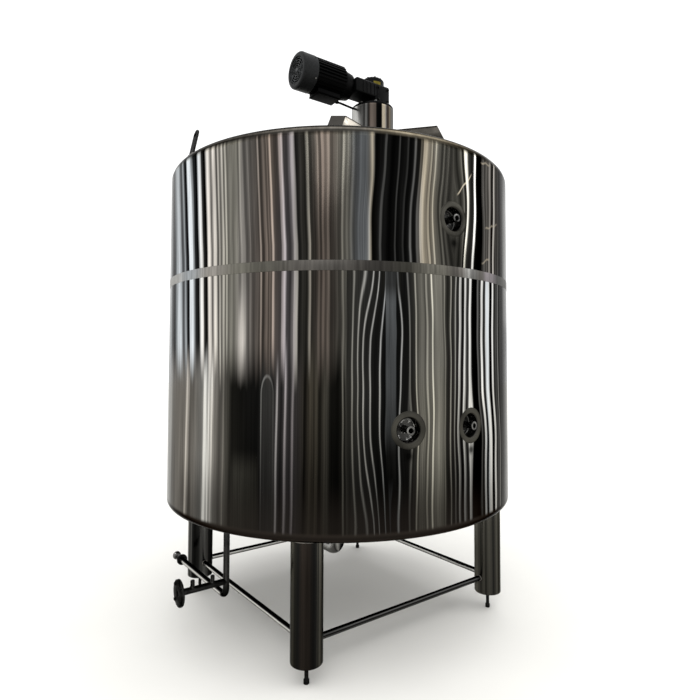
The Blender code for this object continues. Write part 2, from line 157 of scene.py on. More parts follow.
# Local points to their place: origin + x side + y (axis x side) + z axis
def standAt(grid, origin, axis=(0, 0, 1), side=(1, 0, 0)):
    axis = unit(np.array(axis, float))
    side = unit(np.array(side, float) - axis * np.dot(side, axis))
    return np.array(origin, float) + grid @ np.array([side, np.cross(axis, side), axis])


# A turned part: a profile with rounded corners, carried round its axis and stood in its place
def turned(corners, rounding, steps=64, bend=4, closed=False, origin=(0, 0, 0), axis=(0, 0, 1), side=(1, 0, 0)):
    return standAt(revolve(roundedLine(corners, rounding, bend, closed), steps), origin, axis, side)


# A round section carried along a path: P(s) + r(s) (cos v N + sin v T x N), N being outward kept square to T
def sweep(path, radius, outward, around=32, closed=False):
    path = np.array(path, float)
    radius = np.broadcast_to(np.array(radius, float), (len(path),))[:, None, None]
    ahead = np.roll(path, -1, axis=0) - np.roll(path, 1, axis=0) if closed else np.gradient(path, axis=0)
    tangent = unit(ahead)
    normal = np.broadcast_to(np.array(outward, float), path.shape)
    normal = unit(normal - tangent * (normal * tangent).sum(axis=1, keepdims=True))
    v = np.linspace(0, math.tau, around + 1)[None, :, None]
    ring = np.cos(v) * normal[:, None] + np.sin(v) * np.cross(tangent, normal)[:, None]
    grid = path[:, None] + radius * ring
    return np.concatenate([grid, grid[:1]]) if closed else capped(grid, path[0], path[-1])


# A path's points set closer together, so that pieces along it keep their shape
def denser(path, spacing, extra=()):
    path = np.array(path, float)
    steps = np.linalg.norm(np.diff(path, axis=0), axis=1)
    path = path[np.concatenate([[True], steps > 1e-7])]
    run = np.concatenate([[0], np.cumsum(steps[steps > 1e-7])])
    places = np.unique(np.concatenate([run, np.arange(0, run[-1], spacing), extra]))
    return np.stack([np.interp(places, run, path[:, k]) for k in range(path.shape[1])], axis=1), places


# A box with every edge rounded: an inner box's corner plus r (cos b cos a, cos b sin a, sin b)
def roundedBox(low, high, radius, steps=4):
    low, high = np.array(low, float), np.array(high, float)
    half = (high - low) / 2 - radius
    quarter = np.linspace(0, math.pi / 2, steps + 1)
    a = (quarter[None] + np.arange(4)[:, None] * math.pi / 2).ravel()
    side = np.repeat(np.array([[1, 1], [-1, 1], [-1, -1], [1, -1]]), steps + 1, axis=0)
    a, side = np.append(a, a[0]), np.concatenate([side, side[:1]])
    b = np.concatenate([quarter - math.pi / 2, quarter])
    x = side[:, 0] * half[0] + radius * np.outer(np.cos(b), np.cos(a))
    y = side[:, 1] * half[1] + radius * np.outer(np.cos(b), np.sin(a))
    z = np.broadcast_to((np.repeat([-1, 1], steps + 1) * half[2] + radius * np.sin(b))[:, None], x.shape)
    pole = np.array([0, 0, half[2] + radius])
    return capped(np.stack([x, y, z], axis=2), -pole, pole) + (low + high) / 2


# A six-sided bolt head on its washer, at each place, standing along an axis
def boltsAt(places, across, height, axis=(0, 0, 1), side=(1, 0, 0)):
    r = across / math.sqrt(3)
    head = revolve([(0, height), (r * 0.86, height), (r, height * 0.86), (r, 0.0), (0, 0.0)], 6) + [0, 0, 0.0011]
    washer = revolve([(0, 0.0012), (r * 1.12, 0.0012), (r * 1.12, -0.0005), (0, -0.0005)], 16)
    return [standAt(part, place, axis, side) for place in places for part in (head, washer)]


def roofHeight(distance):
    knuckle = tank["topKnuckle"]
    shoulder = tank["top"] - knuckle + knuckle * math.cos(roofTilt)
    edge = tank["radius"] - knuckle + knuckle * math.sin(roofTilt)
    return shoulder + (edge - distance) * math.tan(roofTilt)


tints = {
    "plain": (1.00, 0.995, 0.975), "cool": (0.96, 0.985, 1.00), "warm": (1.00, 0.97, 0.93),
    "mauve": (1.00, 0.96, 0.975), "olive": (1.00, 0.98, 0.91), "brown": (1.00, 0.91, 0.84), "tan": (1.00, 0.94, 0.83),
    "yellow": (1.00, 0.90, 0.36),
}
skyLight = 1.25  # the surroundings are this much brighter than white, so a full white surface is 0.8 of it


# How much of a colour is left: a plain factor for multiplying, with its tint
def keeping(share, tint="plain"):
    return tuple((share * part) ** 2.2 for part in tints[tint]) + (1.0,)


# A brightness as the eye sees it, 0 to 1, with a tint, as a linear colour
def shade(brightness, tint="plain"):
    return tuple(part / skyLight for part in keeping(brightness, tint)[:3]) + (1.0,)


# A share from 0 to 1 as it is, as a grey
def grey(share):
    return (share, share, share, 1.0)


# A value in a node tree. Sums, products and powers of such values become Math nodes.
class Wire:
    def __init__(self, socket):
        self.socket, self.tree = socket, socket.id_data


for word, operation in (
    ("add", "ADD"), ("sub", "SUBTRACT"), ("mul", "MULTIPLY"), ("truediv", "DIVIDE"), ("pow", "POWER"),
    ("lt", "LESS_THAN"), ("gt", "GREATER_THAN")
):
    setattr(Wire, "__" + word + "__", lambda a, b, kind=operation: calc(kind, a, b))


def feed(sockets, values):
    for label, value in values.items():
        if isinstance(value, Wire):
            value.tree.links.new(value.socket, sockets[label])
        else:
            sockets[label].default_value = value


# A node beside the first wire that feeds it
def addNode(kind, inputs, **settings):
    tree = next(value.tree for value in inputs.values() if isinstance(value, Wire))
    node = tree.nodes.new("ShaderNode" + kind)
    for label, value in settings.items():
        setattr(node, label, value)
    feed(node.inputs, inputs)
    return [Wire(socket) for socket in node.outputs]


def calc(operation, *values):
    return addNode("Math", dict(enumerate(values)), operation=operation)[0]


# A value carried straight from one range to another, held at the ends
def rangeOf(value, low, high, toLow=0.0, toHigh=1.0, way="LINEAR"):
    ends = {"Value": value, "From Min": low, "From Max": high, "To Min": toLow, "To Max": toHigh}
    return addNode("MapRange", ends, interpolation_type=way)[0]


# The same with a soft start and end
def softly(value, low, high, toLow=0.0, toHigh=1.0):
    return rangeOf(value, low, high, toLow, toHigh, "SMOOTHSTEP")


# 1 between two places, falling off straight at both sides
def between(value, start, full, fullEnd, end):
    return rangeOf(value, start, full) * rangeOf(value, end, fullEnd)


# exp(-x^2)
def bell(x):
    return calc("EXPONENT", x * x * -1.0)


def mixColour(factor, a, b, blend="MIX"):
    return addNode("Mix", {0: factor, 6: a, 7: b}, data_type="RGBA", blend_type=blend)[2]


def times(colour, factor):
    return mixColour(1.0, colour, factor, "MULTIPLY")


def vectorOf(x, y=0.0, z=0.0):
    return addNode("CombineXYZ", {0: x, 1: y, 2: z})[0]


def noiseOf(vector, scale, detail=2.0, roughness=0.5):
    return addNode("TexNoise", {"Vector": vector, "Scale": scale, "Detail": detail, "Roughness": roughness})[0]


# A ramp over a value. Its stops are a row of numbers: a place, its brightness, and a tint where it isn't plain
def rampOf(value, row, paint=shade):
    stops = []
    for item in row:
        if stops and (isinstance(item, str) or len(stops[-1]) == 1):
            stops[-1].append(item)
        else:
            stops.append([item])
    first, last = stops[0][0], stops[-1][0]
    output = addNode("ValToRGB", {0: rangeOf(value, first, last)})[0]
    ramp = output.socket.node.color_ramp
    ramp.interpolation = "EASE"
    ramp.elements[0].color, ramp.elements[1].color = paint(*stops[0][1:]), paint(*stops[-1][1:])
    for place, *look in stops[1:-1]:
        ramp.elements.new((place - first) / (last - first)).color = paint(*look)
    return output


# A long row of plain brightness as several ramps end to end, mixed as the eye sees them, so that thin lines stay
# thin, then made linear and tinted by a ramp of tints over another value
def rampChain(value, row, tintValue, tintRow):
    most = 32  # stops that one ramp can hold
    mixed = rampOf(value, row[:2 * most], grey)
    for start in range(2 * most - 2, len(row) - 2, 2 * most - 2):
        mixed = mixColour(value > row[start], mixed, rampOf(value, row[start:start + 2 * most], grey))
    linear = mixed ** 2.2 / skyLight
    return times(vectorOf(linear, linear, linear), rampOf(tintValue, tintRow, lambda tint: keeping(1, tint)))


# A group's inputs and first values (None for a vector without one), and the names of its outputs
def newGroup(name, inputs, outputs):
    tree = bpy.data.node_groups.new(name, "ShaderNodeTree")
    for label, value in inputs.items():
        kind = "NodeSocketFloat" if isinstance(value, float) else "NodeSocketVector"
        socket = tree.interface.new_socket(name=label, in_out="INPUT", socket_type=kind)
        if value is not None:
            socket.default_value = value
    for label in outputs:
        kind = "NodeSocketColor" if label == "Color" else "NodeSocketFloat"
        tree.interface.new_socket(name=label, in_out="OUTPUT", socket_type=kind)
    enter = tree.nodes.new("NodeGroupInput").outputs
    return tree, [Wire(enter[label]) for label in inputs], tree.nodes.new("NodeGroupOutput").inputs


def useGroup(group, **values):
    return {wire.socket.name: wire for wire in addNode("Group", values, node_tree=group)}


# Angle round the z axis in degrees from 0 to 360, height, and distance from the axis
def buildAroundAxis():
    tree, (place,), leave = newGroup("aroundAxis", {"Vector": None}, ["Angle", "Height", "Distance"])
    x, y, z = addNode("SeparateXYZ", {0: place})
    turn = calc("ARCTAN2", y, x) * (180 / math.pi)
    feed(leave, {"Angle": calc("WRAP", turn, 360.0, 0.0), "Height": z, "Distance": calc("SQRT", x * x + y * y)})
    return tree


# The painted reflection's stripes bend away from a port: shift = push * side * exp(-|side|/wide) * exp(-(rise/tall)^2)
def buildPortBend():
    tree, (angle, height, portAngle, portHeight, push, wide, tall), leave = newGroup("portBend", {
        "Angle": 0.0, "Height": 0.0, "Port Angle": 0.0, "Port Height": 0.0, "Push": 2.0, "Wide": 6.0, "Tall": 0.17,
    }, ["Shift"])
    aside = angle - portAngle
    size = calc("ABSOLUTE", aside)
    near = calc("EXPONENT", size * -1.0 / wide) * bell((height - portHeight) / tall)
    feed(leave, {"Shift": aside / (size + 1.2) * near * push})
    return tree


# Brush lines: noise stretched along one direction, as a value round 0.5
def buildBrushGrain():
    tree, (place, along, scale), leave = newGroup(
        "brushGrain", {"Vector": None, "Along": (1.0, 1.0, 40.0), "Scale": 20.0}, ["Grain", "Blotch"])
    stretched = addNode("VectorMath", {0: place, 1: along}, operation="MULTIPLY")[0]
    feed(leave, {"Grain": noiseOf(stretched, scale, 3.0), "Blotch": noiseOf(place, 5.0, 3.0)})
    return tree


aroundAxis, portBend, brushGrain = buildAroundAxis(), buildPortBend(), buildBrushGrain()


# A new material and its Object coordinates, moved so that a piece's own axis is z
def newMaterial(name, roughness, centre=(0, 0, 0), metallic=1.0, shine=0.5, edge=0.42):
    material = bpy.data.materials.new(name)
    material.use_nodes = True
    tree = material.node_tree
    feed(tree.nodes["Principled BSDF"].inputs, {
        "Metallic": metallic, "Roughness": roughness, "Specular IOR Level": shine,
        "Specular Tint": (edge, edge, edge, 1.0) if metallic else (1.0, 1.0, 1.0, 1.0)})
    place = Wire(tree.nodes.new("ShaderNodeTexCoord").outputs["Object"])
    return material, addNode("Mapping", {"Vector": place, "Location": centre}, vector_type="TEXTURE")[0]


# What every finish ends with: its colour, its roughness and its bump
def finish(material, colour, rough, height, strength, distance):
    bump = addNode("Bump", {"Strength": strength, "Distance": distance, "Height": height})[0]
    feed(material.node_tree.nodes["Principled BSDF"].inputs, {"Base Color": colour, "Roughness": rough, "Normal": bump})
    return material


# The polished wall. Its colour is painted reflection: streaks in rows of angle round the tank, in degrees, and
# brightness
wallLook = {
    "middleOfFront": 234.0, "halfFront": 73.0, "highReference": 2.08, "lowReference": 1.30, "splitLeft": 1.52,
    "splitSoft": 0.12, "columnAngle": 247.5, "splitRight": 1.98, "splitAngle": 236.0, "wander": 0.5, "roughness": 0.15,
    "lineContrast": 0.40, "leanLow": -5.0, "leanSpan": 11.0,
    "glints": [(268, 274.5, 2.37, 0.020), (279, 285, 2.585, 0.002), (281, 290, 2.235, 0.006), (279, 284, 2.045, 0.008)],
}
highReflectedStreaks = [
    160, .9, 166, .95, 168, .9, 169.3, .6, 170.2, .3, 171.5, .16, 173.6, .13, 174.4, .35, 175.1, .7, 176, .6,
    176.6, .95, 179, 1, 180, .8, 181.3, .35, 182, .45, 183, .75, 184, .3, 184.8, .12, 185.3, .2, 186, 1, 187.5, 1,
    188.5, .6, 189.3, .2, 190.8, .12, 191.5, .8, 192, 1, 192.8, .9, 193.5, .2, 194.8, .08, 195.3, .8, 195.7, 1,
    196.3, .8, 197, .4, 198, .9, 198.6, .8, 199.3, .3, 200, .75, 200.5, .35, 201.4, .75, 202, .35, 202.5, .7,
    203.2, .36, 204, .5, 205, .4, 206, .5, 207, .38, 207.8, .6, 208.5, .45, 209.5, .3, 210.3, .42, 211.2, .29,
    212.4, .36, 213, .25, 213.5, .55, 214, .2, 215.2, .42, 215.8, .28, 216, .45, 216.4, .3, 217, .72, 217.6, .3,
    219, .25, 219.6, .6, 220.2, .7, 220.8, .25, 221.6, .22, 222.3, .4, 222.8, .65, 223.4, .6, 223.9, .12, 225, .2,
    226, .14, 226.8, .55, 227.3, .16, 228.4, .2, 229.2, .36, 229.6, .22, 230.3, .38, 230.8, .24, 231.5, .36,
    232.2, .2, 233.5, .26, 234.6, .22, 235.1, .44, 235.6, .28, 236, .3, 236.3, .42, 236.9, .28, 237.5, .4,
    238.2, .25, 239, .28, 239.3, .36, 241, .37, 241.7, .42, 242.1, .68, 242.5, .5, 242.8, .08, 243, .06, 244.2, .1,
    244.8, .3, 245.3, .1, 247, .05, 248.3, .07, 248.8, .25, 249.2, .06, 250.8, .1, 251.3, .22, 251.7, .06,
    252.8, .08, 253.4, .4, 253.9, .1, 254.6, .1, 255.2, .35, 255.7, .3, 256.2, .64, 257, .7, 258, .5, 258.6, .45,
    259.1, .66, 259.6, .35, 260.3, .42, 260.8, .72, 261.2, .38, 262, .34, 263, .2, 263.6, .36, 264.2, .17,
    265.2, .27, 266, .14, 267, .2, 268, .12, 269, .2, 269.3, .3, 269.6, .12, 270.1, .12, 270.4, .85, 270.9, .6,
    271.2, .16, 272.4, .12, 273.2, .14, 273.5, .6, 273.8, .95, 274.3, .7, 274.6, .1, 277, .05, 278.2, .12, 279, .26,
    280, .38, 280.8, .26, 281.6, .42, 282.3, .3, 283.2, .62, 283.8, .45, 284.5, .15, 285.3, .2, 285.8, .85,
    286.5, .7, 287.2, .22, 288.2, .36, 289, .22, 290, .36, 291, .2, 292.5, .2, 293.6, .32, 294.5, .24, 296, .3,
    297, .55, 298, .35, 299.5, .75, 300.4, .4, 302, .7, 303, .45, 304.5, .8, 305.5, .5, 307, .6]
lowReflectedStreaks = [
    160, .75, 170, .85, 172.3, .8, 173.2, .56, 174.5, .52, 183, .5, 184.5, .5, 185.4, .85, 186.5, .6, 187.5, .38,
    190, .45, 193, .42, 193.9, .5, 194.4, .92, 195, .95, 195.8, .7, 196.4, .85, 197, .62, 197.6, .85, 198.2, .55,
    199, .45, 201, .3, 201.5, .32, 202, .45, 202.6, .28, 203.5, .25, 205, .12, 208, .1, 213, .1, 213.5, .15,
    216, .2, 217.3, .15, 217.8, .2, 218.3, .66, 218.8, .2, 219.4, .14, 220, .22, 220.5, .66, 221.2, .2, 221.8, .18,
    222.5, .5, 223, .2, 225, .2, 225.5, .1, 226.4, .2, 227, .28, 228, .2, 228.6, .26, 229.4, .12, 230.5, .24,
    231.4, .22, 232.2, .1, 234, .08, 234.8, .12, 235.2, .42, 235.6, .12, 236, .22, 236.3, .17, 237.2, .18,
    237.5, .52, 237.9, .18, 238.7, .18, 239, .58, 239.4, .16, 240.1, .16, 240.4, .68, 240.8, .15, 241.8, .14,
    242.2, .65, 242.6, .12, 243.6, .1, 244.3, .12, 244.7, .7, 245.1, .1, 246.1, .08, 246.4, .28, 248.8, .31,
    249.1, .08, 250, .08, 250.4, .64, 250.8, .1, 252.3, .1, 252.7, .42, 253.1, .14, 254.1, .18, 254.5, .68,
    254.9, .28, 255.5, .36, 256.5, .42, 257.2, .3, 257.7, .62, 258.2, .33, 258.9, .35, 259.3, .88, 259.8, .4,
    261, .46, 262.5, .43, 263.2, .3, 263.5, .48, 263.9, .2, 264.6, .14, 265.2, .2, 265.7, .62, 266.1, .16, 267, .2,
    267.4, .62, 267.9, .16, 268.5, .16, 268.9, .85, 269.5, .55, 269.8, .1, 270.5, .12, 271, .97, 271.6, .5,
    272, .12, 272.6, .3, 273, .97, 273.6, .75, 274, .12, 274.6, .06, 276.3, .07, 276.9, .4, 277.6, .2, 278.3, .2,
    278.6, .95, 279.3, 1, 279.8, .2, 280.6, .2, 281.1, .9, 282.2, 1, 282.9, .9, 283.4, .2, 284, .08, 284.8, .12,
    285.2, .9, 286, .97, 286.5, .35, 287, .2, 288.2, .34, 289, .2, 289.6, .62, 290.4, .2, 292, .27, 294, .18,
    296, .24, 297.5, .4, 298.3, .2, 300, .38, 301, .15, 303, .34, 304, .18, 305.5, .36, 307, .22]
# The tints of both sets, by angle
highTints = [
    160, "cool", 188, "cool", 196, "warm", 205, "olive", 208, "warm", 216, "brown", 221, "mauve", 225, "olive",
    230, "brown", 236, "olive", 239, "cool", 241, "cool", 242.5, "tan", 244, "plain", 254, "plain", 257, "tan",
    263, "olive", 270, "olive", 276, "plain", 283, "warm", 307, "plain"]
lowTints = [
    160, "cool", 171, "plain", 175, "warm", 188, "warm", 195, "plain", 200, "warm", 205, "olive", 214, "plain",
    222, "mauve", 227, "tan", 233, "olive", 244, "plain", 247.5, "cool", 251, "plain", 255, "olive", 264, "olive",
    270, "plain", 280.3, "plain", 282, "cool", 284, "plain", 307, "warm"]
# How far the streaks lean, in degrees of angle for each metre that the wall rises, where the wall starts to darken
# towards its foot (as a share of 2 m), and how much light is left there
streakLean = [
    160, 6, 178, 6, 185, 5.5, 188, 3.8, 192, 4, 196, 2.8, 200, 2.4, 205, 2, 208, 3, 214, 2.8, 220, 2.5, 227, 2,
    232, .5, 236, 0, 242, -1, 246, -3, 255, -3, 258, -1.5, 262, 0, 268, -0.5, 270.5, -1.2, 274, -3.6, 277, -3.2,
    281, -0.5, 283, -2, 287, -3, 291, -1, 307, 0]
footStart = [
    160, .55, 205, .55, 212, .72, 250, .72, 254, .58, 264, .6, 267, .8, 272, .7, 276, .65, 279, .75, 286, .65,
    307, .65]
footShare = [
    160, .95, 180, .95, 184, .75, 192, .8, 198, .7, 203, .85, 212, .65, 222, .6, 236, .6, 242, .5, 246, .42,
    250, .6, 263, .62, 268, .42, 274, .5, 280, .6, 286, .85, 290, 1, 307, 1]
# The painted reflection's brightness by height where the wall turns out of sight, on the left and on the right
leftEdge = [
    .7, .75, .95, .85, 1.3, .75, 1.42, .6, 1.5, .65, 1.6, .95, 2.0, 1, 2.3, .95, 2.6, .85]
rightEdge = [
    .7, .35, .95, .22, 1.3, .12, 1.62, .16, 1.85, .6, 2.1, .85, 2.35, .75, 2.6, .5]
nearEdge = [
    .7, .3, .85, .5, .95, .25, 1.3, .3, 1.68, .25, 1.8, .7, 2.0, .85, 2.35, .7, 2.6, .35]


# The angle that the painted reflection streaks are looked up by: folded at the back, so that the pattern closes on
# itself
def buildReflectedStreakAngle():
    look = wallLook
    outputs = ["High Angle", "Low Angle", "Height", "Plain Angle", "Front"]
    tree, (place,), leave = newGroup("reflectedStreakAngle", {"Vector": None}, outputs)
    around = useGroup(aroundAxis, Vector=place)
    angle, height = around["Angle"], around["Height"]
    aside = calc("WRAP", angle - look["middleOfFront"], 180.0, -180.0)
    size, half = calc("ABSOLUTE", aside), look["halfFront"]
    stretch = half / (180 - half)
    folded = calc("MINIMUM", size, size * -stretch + half * (1 + stretch)) * calc("SIGN", aside)
    plain = folded + look["middleOfFront"]
    bent = plain
    for degrees, rise in portPlaces.values():
        push, wide, tall = (3.0, 12.0, 0.20) if rise > look["highReference"] else (2.0, 6.0, 0.17)
        bend = {"Port Angle": degrees, "Port Height": rise, "Push": push, "Wide": wide, "Tall": tall}
        bent = bent - useGroup(portBend, Angle=angle, Height=height, **bend)["Shift"]
    wave = noiseOf(vectorOf(angle * 0.06, height), 2.2, 1.0)
    bent = bent + (wave - 0.5) * rangeOf(angle, 233.0, 240.0, 0.5, 1.6) * (2 * look["wander"])
    low, span = look["leanLow"], look["leanSpan"]
    leanRow = [item if k % 2 == 0 else (item - low) / span for k, item in enumerate(streakLean)]
    lean = rampOf(plain, leanRow, grey) * span + low
    above = height - look["highReference"]
    above = calc("MAXIMUM", above, above * rangeOf(plain, 200.0, 220.0, 0.55, 0.0))
    lowAngle = bent + (height - look["lowReference"]) * -0.2 * calc("MAXIMUM", lean, 0.0)
    # under the band and near the foot, the lines close in on the broad pale streak: shift = ends * 2.8 exp(-x^2)
    ends = softly(height, 1.62, 1.98) + softly(height, 1.20, 0.72)
    beyond = plain - look["columnAngle"]
    pull = bell((beyond + 4.5) / 4.0) * 2.8 * (beyond < 0.0)
    back = calc("EXPONENT", beyond * -0.33) * -1.8 * (beyond > 0.0)
    # right of the lower right port the lines step to the right as they go down
    step = softly(height, 1.40, 1.08, 0.0, 1.7) * softly(plain, 275.0, 279.0)
    feed(leave, {
        "High Angle": bent + above * lean, "Low Angle": lowAngle - (pull + back) * ends - step, "Height": height,
        "Plain Angle": plain, "Front": softly(size, half + 5, half)})
    return tree


reflectedStreakAngle = buildReflectedStreakAngle()


# Painted reflections of polished steel as a colour: streaks in an upper and a lower set, split at a height that depends
# on the side
def buildWallReflections():
    look = wallLook
    tree, (place,), leave = newGroup("wallReflections", {"Vector": None}, ["Color", "Lines", "Smudge"])
    high, low, height, plain, front = useGroup(reflectedStreakAngle, Vector=place).values()
    upper = rampChain(high, highReflectedStreaks, plain, highTints)
    # a painted pale reflection patch that ends at the split, low on the upper set
    patch = bell((plain - 207.8) * 0.94868) * softly(height, 1.95, 1.62, 0.0, 0.85)
    upper = mixColour(patch, upper, shade(.88, "warm"))
    lower = rampChain(low, lowReflectedStreaks, plain, lowTints)
    # the broad pale streak of painted reflection on the right stands upright and ends in a round top under the band
    column = between(plain, 246.0, 246.3, 248.7, 249.0) * softly(height, 0.85, 1.0)
    lower = mixColour(column, lower, rampOf(height, [
        0.85, .08, 1.08, .13, 1.25, .25, "cool", 1.5, .29, "cool", 1.9, .33, "cool"]))
    top = between(plain, 244.5, 245.5, 250.0, 251.0) * softly(height, 1.80, 1.90) * 0.75
    lower = mixColour(top, lower, shade(.13, "olive"))
    # a dark patch of painted reflection gets paler below, and a round-topped line stands to its right: x^2 + y^2 = 1
    # above its shoulder
    pale = between(plain, 204.0, 206.0, 212.5, 213.5) * softly(height, 1.12, 0.98)
    lower = mixColour(pale, lower, shade(.21, "olive"))
    x, y = (plain - 215.6) / 1.7, calc("MAXIMUM", (height - 1.37) / 0.09, 0.0)
    reach = calc("SQRT", x * x + y * y)
    lower = mixColour(rangeOf(reach, 1.05, 0.95), lower, shade(.20))
    rim = rangeOf(calc("ABSOLUTE", reach - 1.0), 0.13, 0.02) * rangeOf(x, 0.9, -0.2, 0.25, 0.8)
    lower = mixColour(rim * rangeOf(height, 0.85, 1.2, 0.3, 1.0), lower, shade(.5))
    ripple = noiseOf(vectorOf(plain * 0.35), 1.3, 2.0)
    isLeft, soft = plain < look["splitAngle"], look["splitSoft"]
    leftMix = softly(height - ((ripple - 0.5) * 0.30 + look["splitLeft"]), -soft, soft)
    split = leftMix * isLeft + (height > look["splitRight"]) * (isLeft * -1.0 + 1.0)
    colour = mixColour(split, lower, upper)
    for start, full, share, row in (
        (168.5, 165.5, 1.0, leftEdge), (294.5, 298.0, 0.55, nearEdge), (299.5, 302.5, 0.55, rightEdge)
    ):
        colour = mixColour(softly(plain, start, full, 0.0, share) * front, colour, rampOf(height, row))
    # fine drawn lines, broad slow changes along them, and painted shade darkening the wall to brown near its foot
    fine = noiseOf(vectorOf(high, height * 0.12), 5.5, 3.0, 0.65)
    slow = noiseOf(vectorOf(low * 0.5, height * 1.6), 1.0)
    foot = softly(height, 0.78, rampOf(plain, footStart, grey) * 2.0, rampOf(plain, footShare, grey), 1.0)
    lines = rangeOf(fine, 0.32, 0.68, 1 - look["lineContrast"], 1 + look["lineContrast"])
    factor = lines * rangeOf(slow, 0.3, 0.7, 0.78, 1.22) * foot ** 2.2
    colour = times(colour, vectorOf(factor, factor, factor))
    brown = between(plain, 198.0, 204.0, 286.0, 292.0) * softly(height, 1.0, 0.72, 0.0, 0.32)
    colour = mixColour(brown, colour, shade(.2, "brown"))
    # short golden glints: bright where |height - (z + slope (angle - start))| is small between two angles
    for start, end, z, slope in look["glints"]:
        rise = (plain - start) * slope + z + calc("SINE", plain * 1.7) * 0.004
        glint = rangeOf(calc("ABSOLUTE", height - rise), 0.008, 0.001, 0.0, 0.45)
        glint = glint * between(plain, start, start + 1, end - 1, end) * front
        colour = mixColour(glint, colour, shade(.8, "tan"))
    # a small dark mark under each port
    marks = 0.0
    for degrees, rise in portPlaces.values():
        x, y = (plain - degrees) * 0.9, (height - (rise - 0.122)) * 46.0
        marks = calc("EXPONENT", (x * x + y * y) * -1.0) + marks
    colour = mixColour(calc("MINIMUM", marks, 0.85) * front, colour, shade(.05))
    feed(leave, {"Color": colour, "Lines": fine, "Smudge": noiseOf(place, 3.0, 4.0)})
    return tree


wallReflections = buildWallReflections()


def buildWallSteel():
    material, place = newMaterial("polished wall steel", wallLook["roughness"])
    look = useGroup(wallReflections, Vector=place)
    return finish(material, look["Color"], rangeOf(look["Smudge"], 0.3, 0.75, 0.10, 0.24), look["Lines"], 0.08, 0.002)


# A steel whose painted reflections run round one upright axis as streaks: a row by angle, and fine lines between them
def buildRoundSteel(name, centre, row, roughness=0.24, contrast=0.2, lineScale=1.6, fadeHeights=None):
    material, place = newMaterial(name, roughness, centre)
    around = useGroup(aroundAxis, Vector=place)
    fine = noiseOf(vectorOf(around["Angle"], around["Height"] * 3.0), lineScale, 3.0)
    factor = rangeOf(fine, 0.25, 0.75, 1 - contrast, 1 + contrast)
    if fadeHeights:
        low, high, share = fadeHeights
        factor = factor * softly(around["Height"], low, high, share, 1.0)
    colour = times(rampOf(around["Angle"], row), vectorOf(factor, factor, factor))
    blotch = useGroup(brushGrain, Vector=place)["Blotch"]
    return finish(material, colour, rangeOf(blotch, 0.3, 0.7, roughness - 0.05, roughness + 0.08), fine, 0.06, 0.001)


# A satin or cast finish: two close shades mixed by blotches and grain
def buildSatin(name, dark, light, tint="plain", roughness=0.35, along=(1, 1, 1), scale=30.0, bump=0.15, shine=None):
    paint = shine is not None
    material, place = newMaterial(name, roughness, metallic=0.0 if paint else 1.0, shine=shine if paint else 0.5)
    grain, blotch = useGroup(brushGrain, Vector=place, Along=along, Scale=scale).values()
    colour = mixColour(rangeOf(grain * 0.55 + blotch * 0.45, 0.34, 0.66), shade(dark, tint), shade(light, tint))
    return finish(material, colour, rangeOf(blotch, 0.3, 0.7, roughness - 0.07, roughness + 0.07), grain, bump, 0.0006)


wallSteel = buildWallSteel()
# the brushed band's painted reflections by angle round the tank, with brush lines between them
bandSteel = buildRoundSteel("brushed seam band", (0, 0, 0), [
    0, .3, 60, .4, 120, .6, 161, .8, 176, .78, 186, .70, "cool", 196, .60, "warm", 206, .45, "olive",
    214, .36, "olive", 224, .34, "warm", 236, .30, "warm", 244, .22, "warm", 252, .24, "olive",
    258, .40, "olive", 263, .40, "olive", 267, .30, "warm", 270, .42, "warm", 272.5, .58, 275, .40,
    279, .40, "warm", 282, .60, "mauve", 286, .55, "mauve", 290, .40, 298, .5, 307, .8, 330, .5, 360, .3],
    roughness=0.42, contrast=0.34, lineScale=1.3)
weldSteel = buildSatin("weld bead steel", .34, .62, "warm", 0.4, scale=160.0, bump=0.4)
satinSteel = buildSatin("satin steel", .44, .62, "plain", 0.33, (1, 1, 8), 40.0)
darkPipeSteel = buildSatin("dark drawn pipe", .07, .22, "plain", 0.25, (4, 4, 4), 12.0)
studSteel = buildSatin("blackened stud steel", .08, .2, "plain", 0.4, (1, 1, 6), 60.0)
boltSteel = buildSatin("zinc bolt steel", .34, .56, "plain", 0.35, scale=120.0)
nippleSteel = buildSatin("nipple steel", .08, .55, "plain", 0.18, scale=45.0)
motorPaint = buildSatin("black motor paint", .005, .035, "cool", 0.42, scale=140.0, bump=0.25, shine=0.03)
cowlPaint = buildSatin("graphite cowl paint", .10, .17, "cool", 0.45, scale=150.0, bump=0.25, shine=0.08)
grillePaint = buildSatin("fan grille paint", .16, .40, "cool", 0.4, scale=60.0, bump=0.2, shine=0.1)
gearPaint = buildSatin("dark green gearbox paint", .01, .08, "cool", 0.38, scale=120.0, bump=0.35, shine=0.05)
platePaint = buildSatin("blank yellow plate", .26, .48, "yellow", 0.4, scale=90.0, shine=0.05)
print("materials made")

bodyPieces = {"rowHeight": 0.017, "holeRadius": 0.076, "knuckleSteps": 12}


def awayFromPorts(centres):
    keep = np.ones(len(centres), bool)
    for degrees, rise in portPlaces.values():
        out, side = directions(degrees)
        near = np.hypot(centres @ side, centres[:, 2] - rise) < bodyPieces["holeRadius"]
        keep &= ~(near & (centres @ out > 0))
    return keep


def makeCladding(name, low, high):
    z = np.linspace(low, high, int(round((high - low) / bodyPieces["rowHeight"])) + 1)
    grid = revolve(np.column_stack([np.full(len(z), tank["radius"]), z]), tank["stepsRound"])
    makePiece(name + "_sheet", [grid], wallSteel, name, keep=awayFromPorts, sheet=tank["sheet"])


# An arc of a knuckle: centre + reach (cos a, sin a)
def knuckle(centre, reach, first, last):
    a = np.linspace(first, last, bodyPieces["knuckleSteps"] + 1)
    return np.array(centre) + reach * np.column_stack([np.cos(a), np.sin(a)])


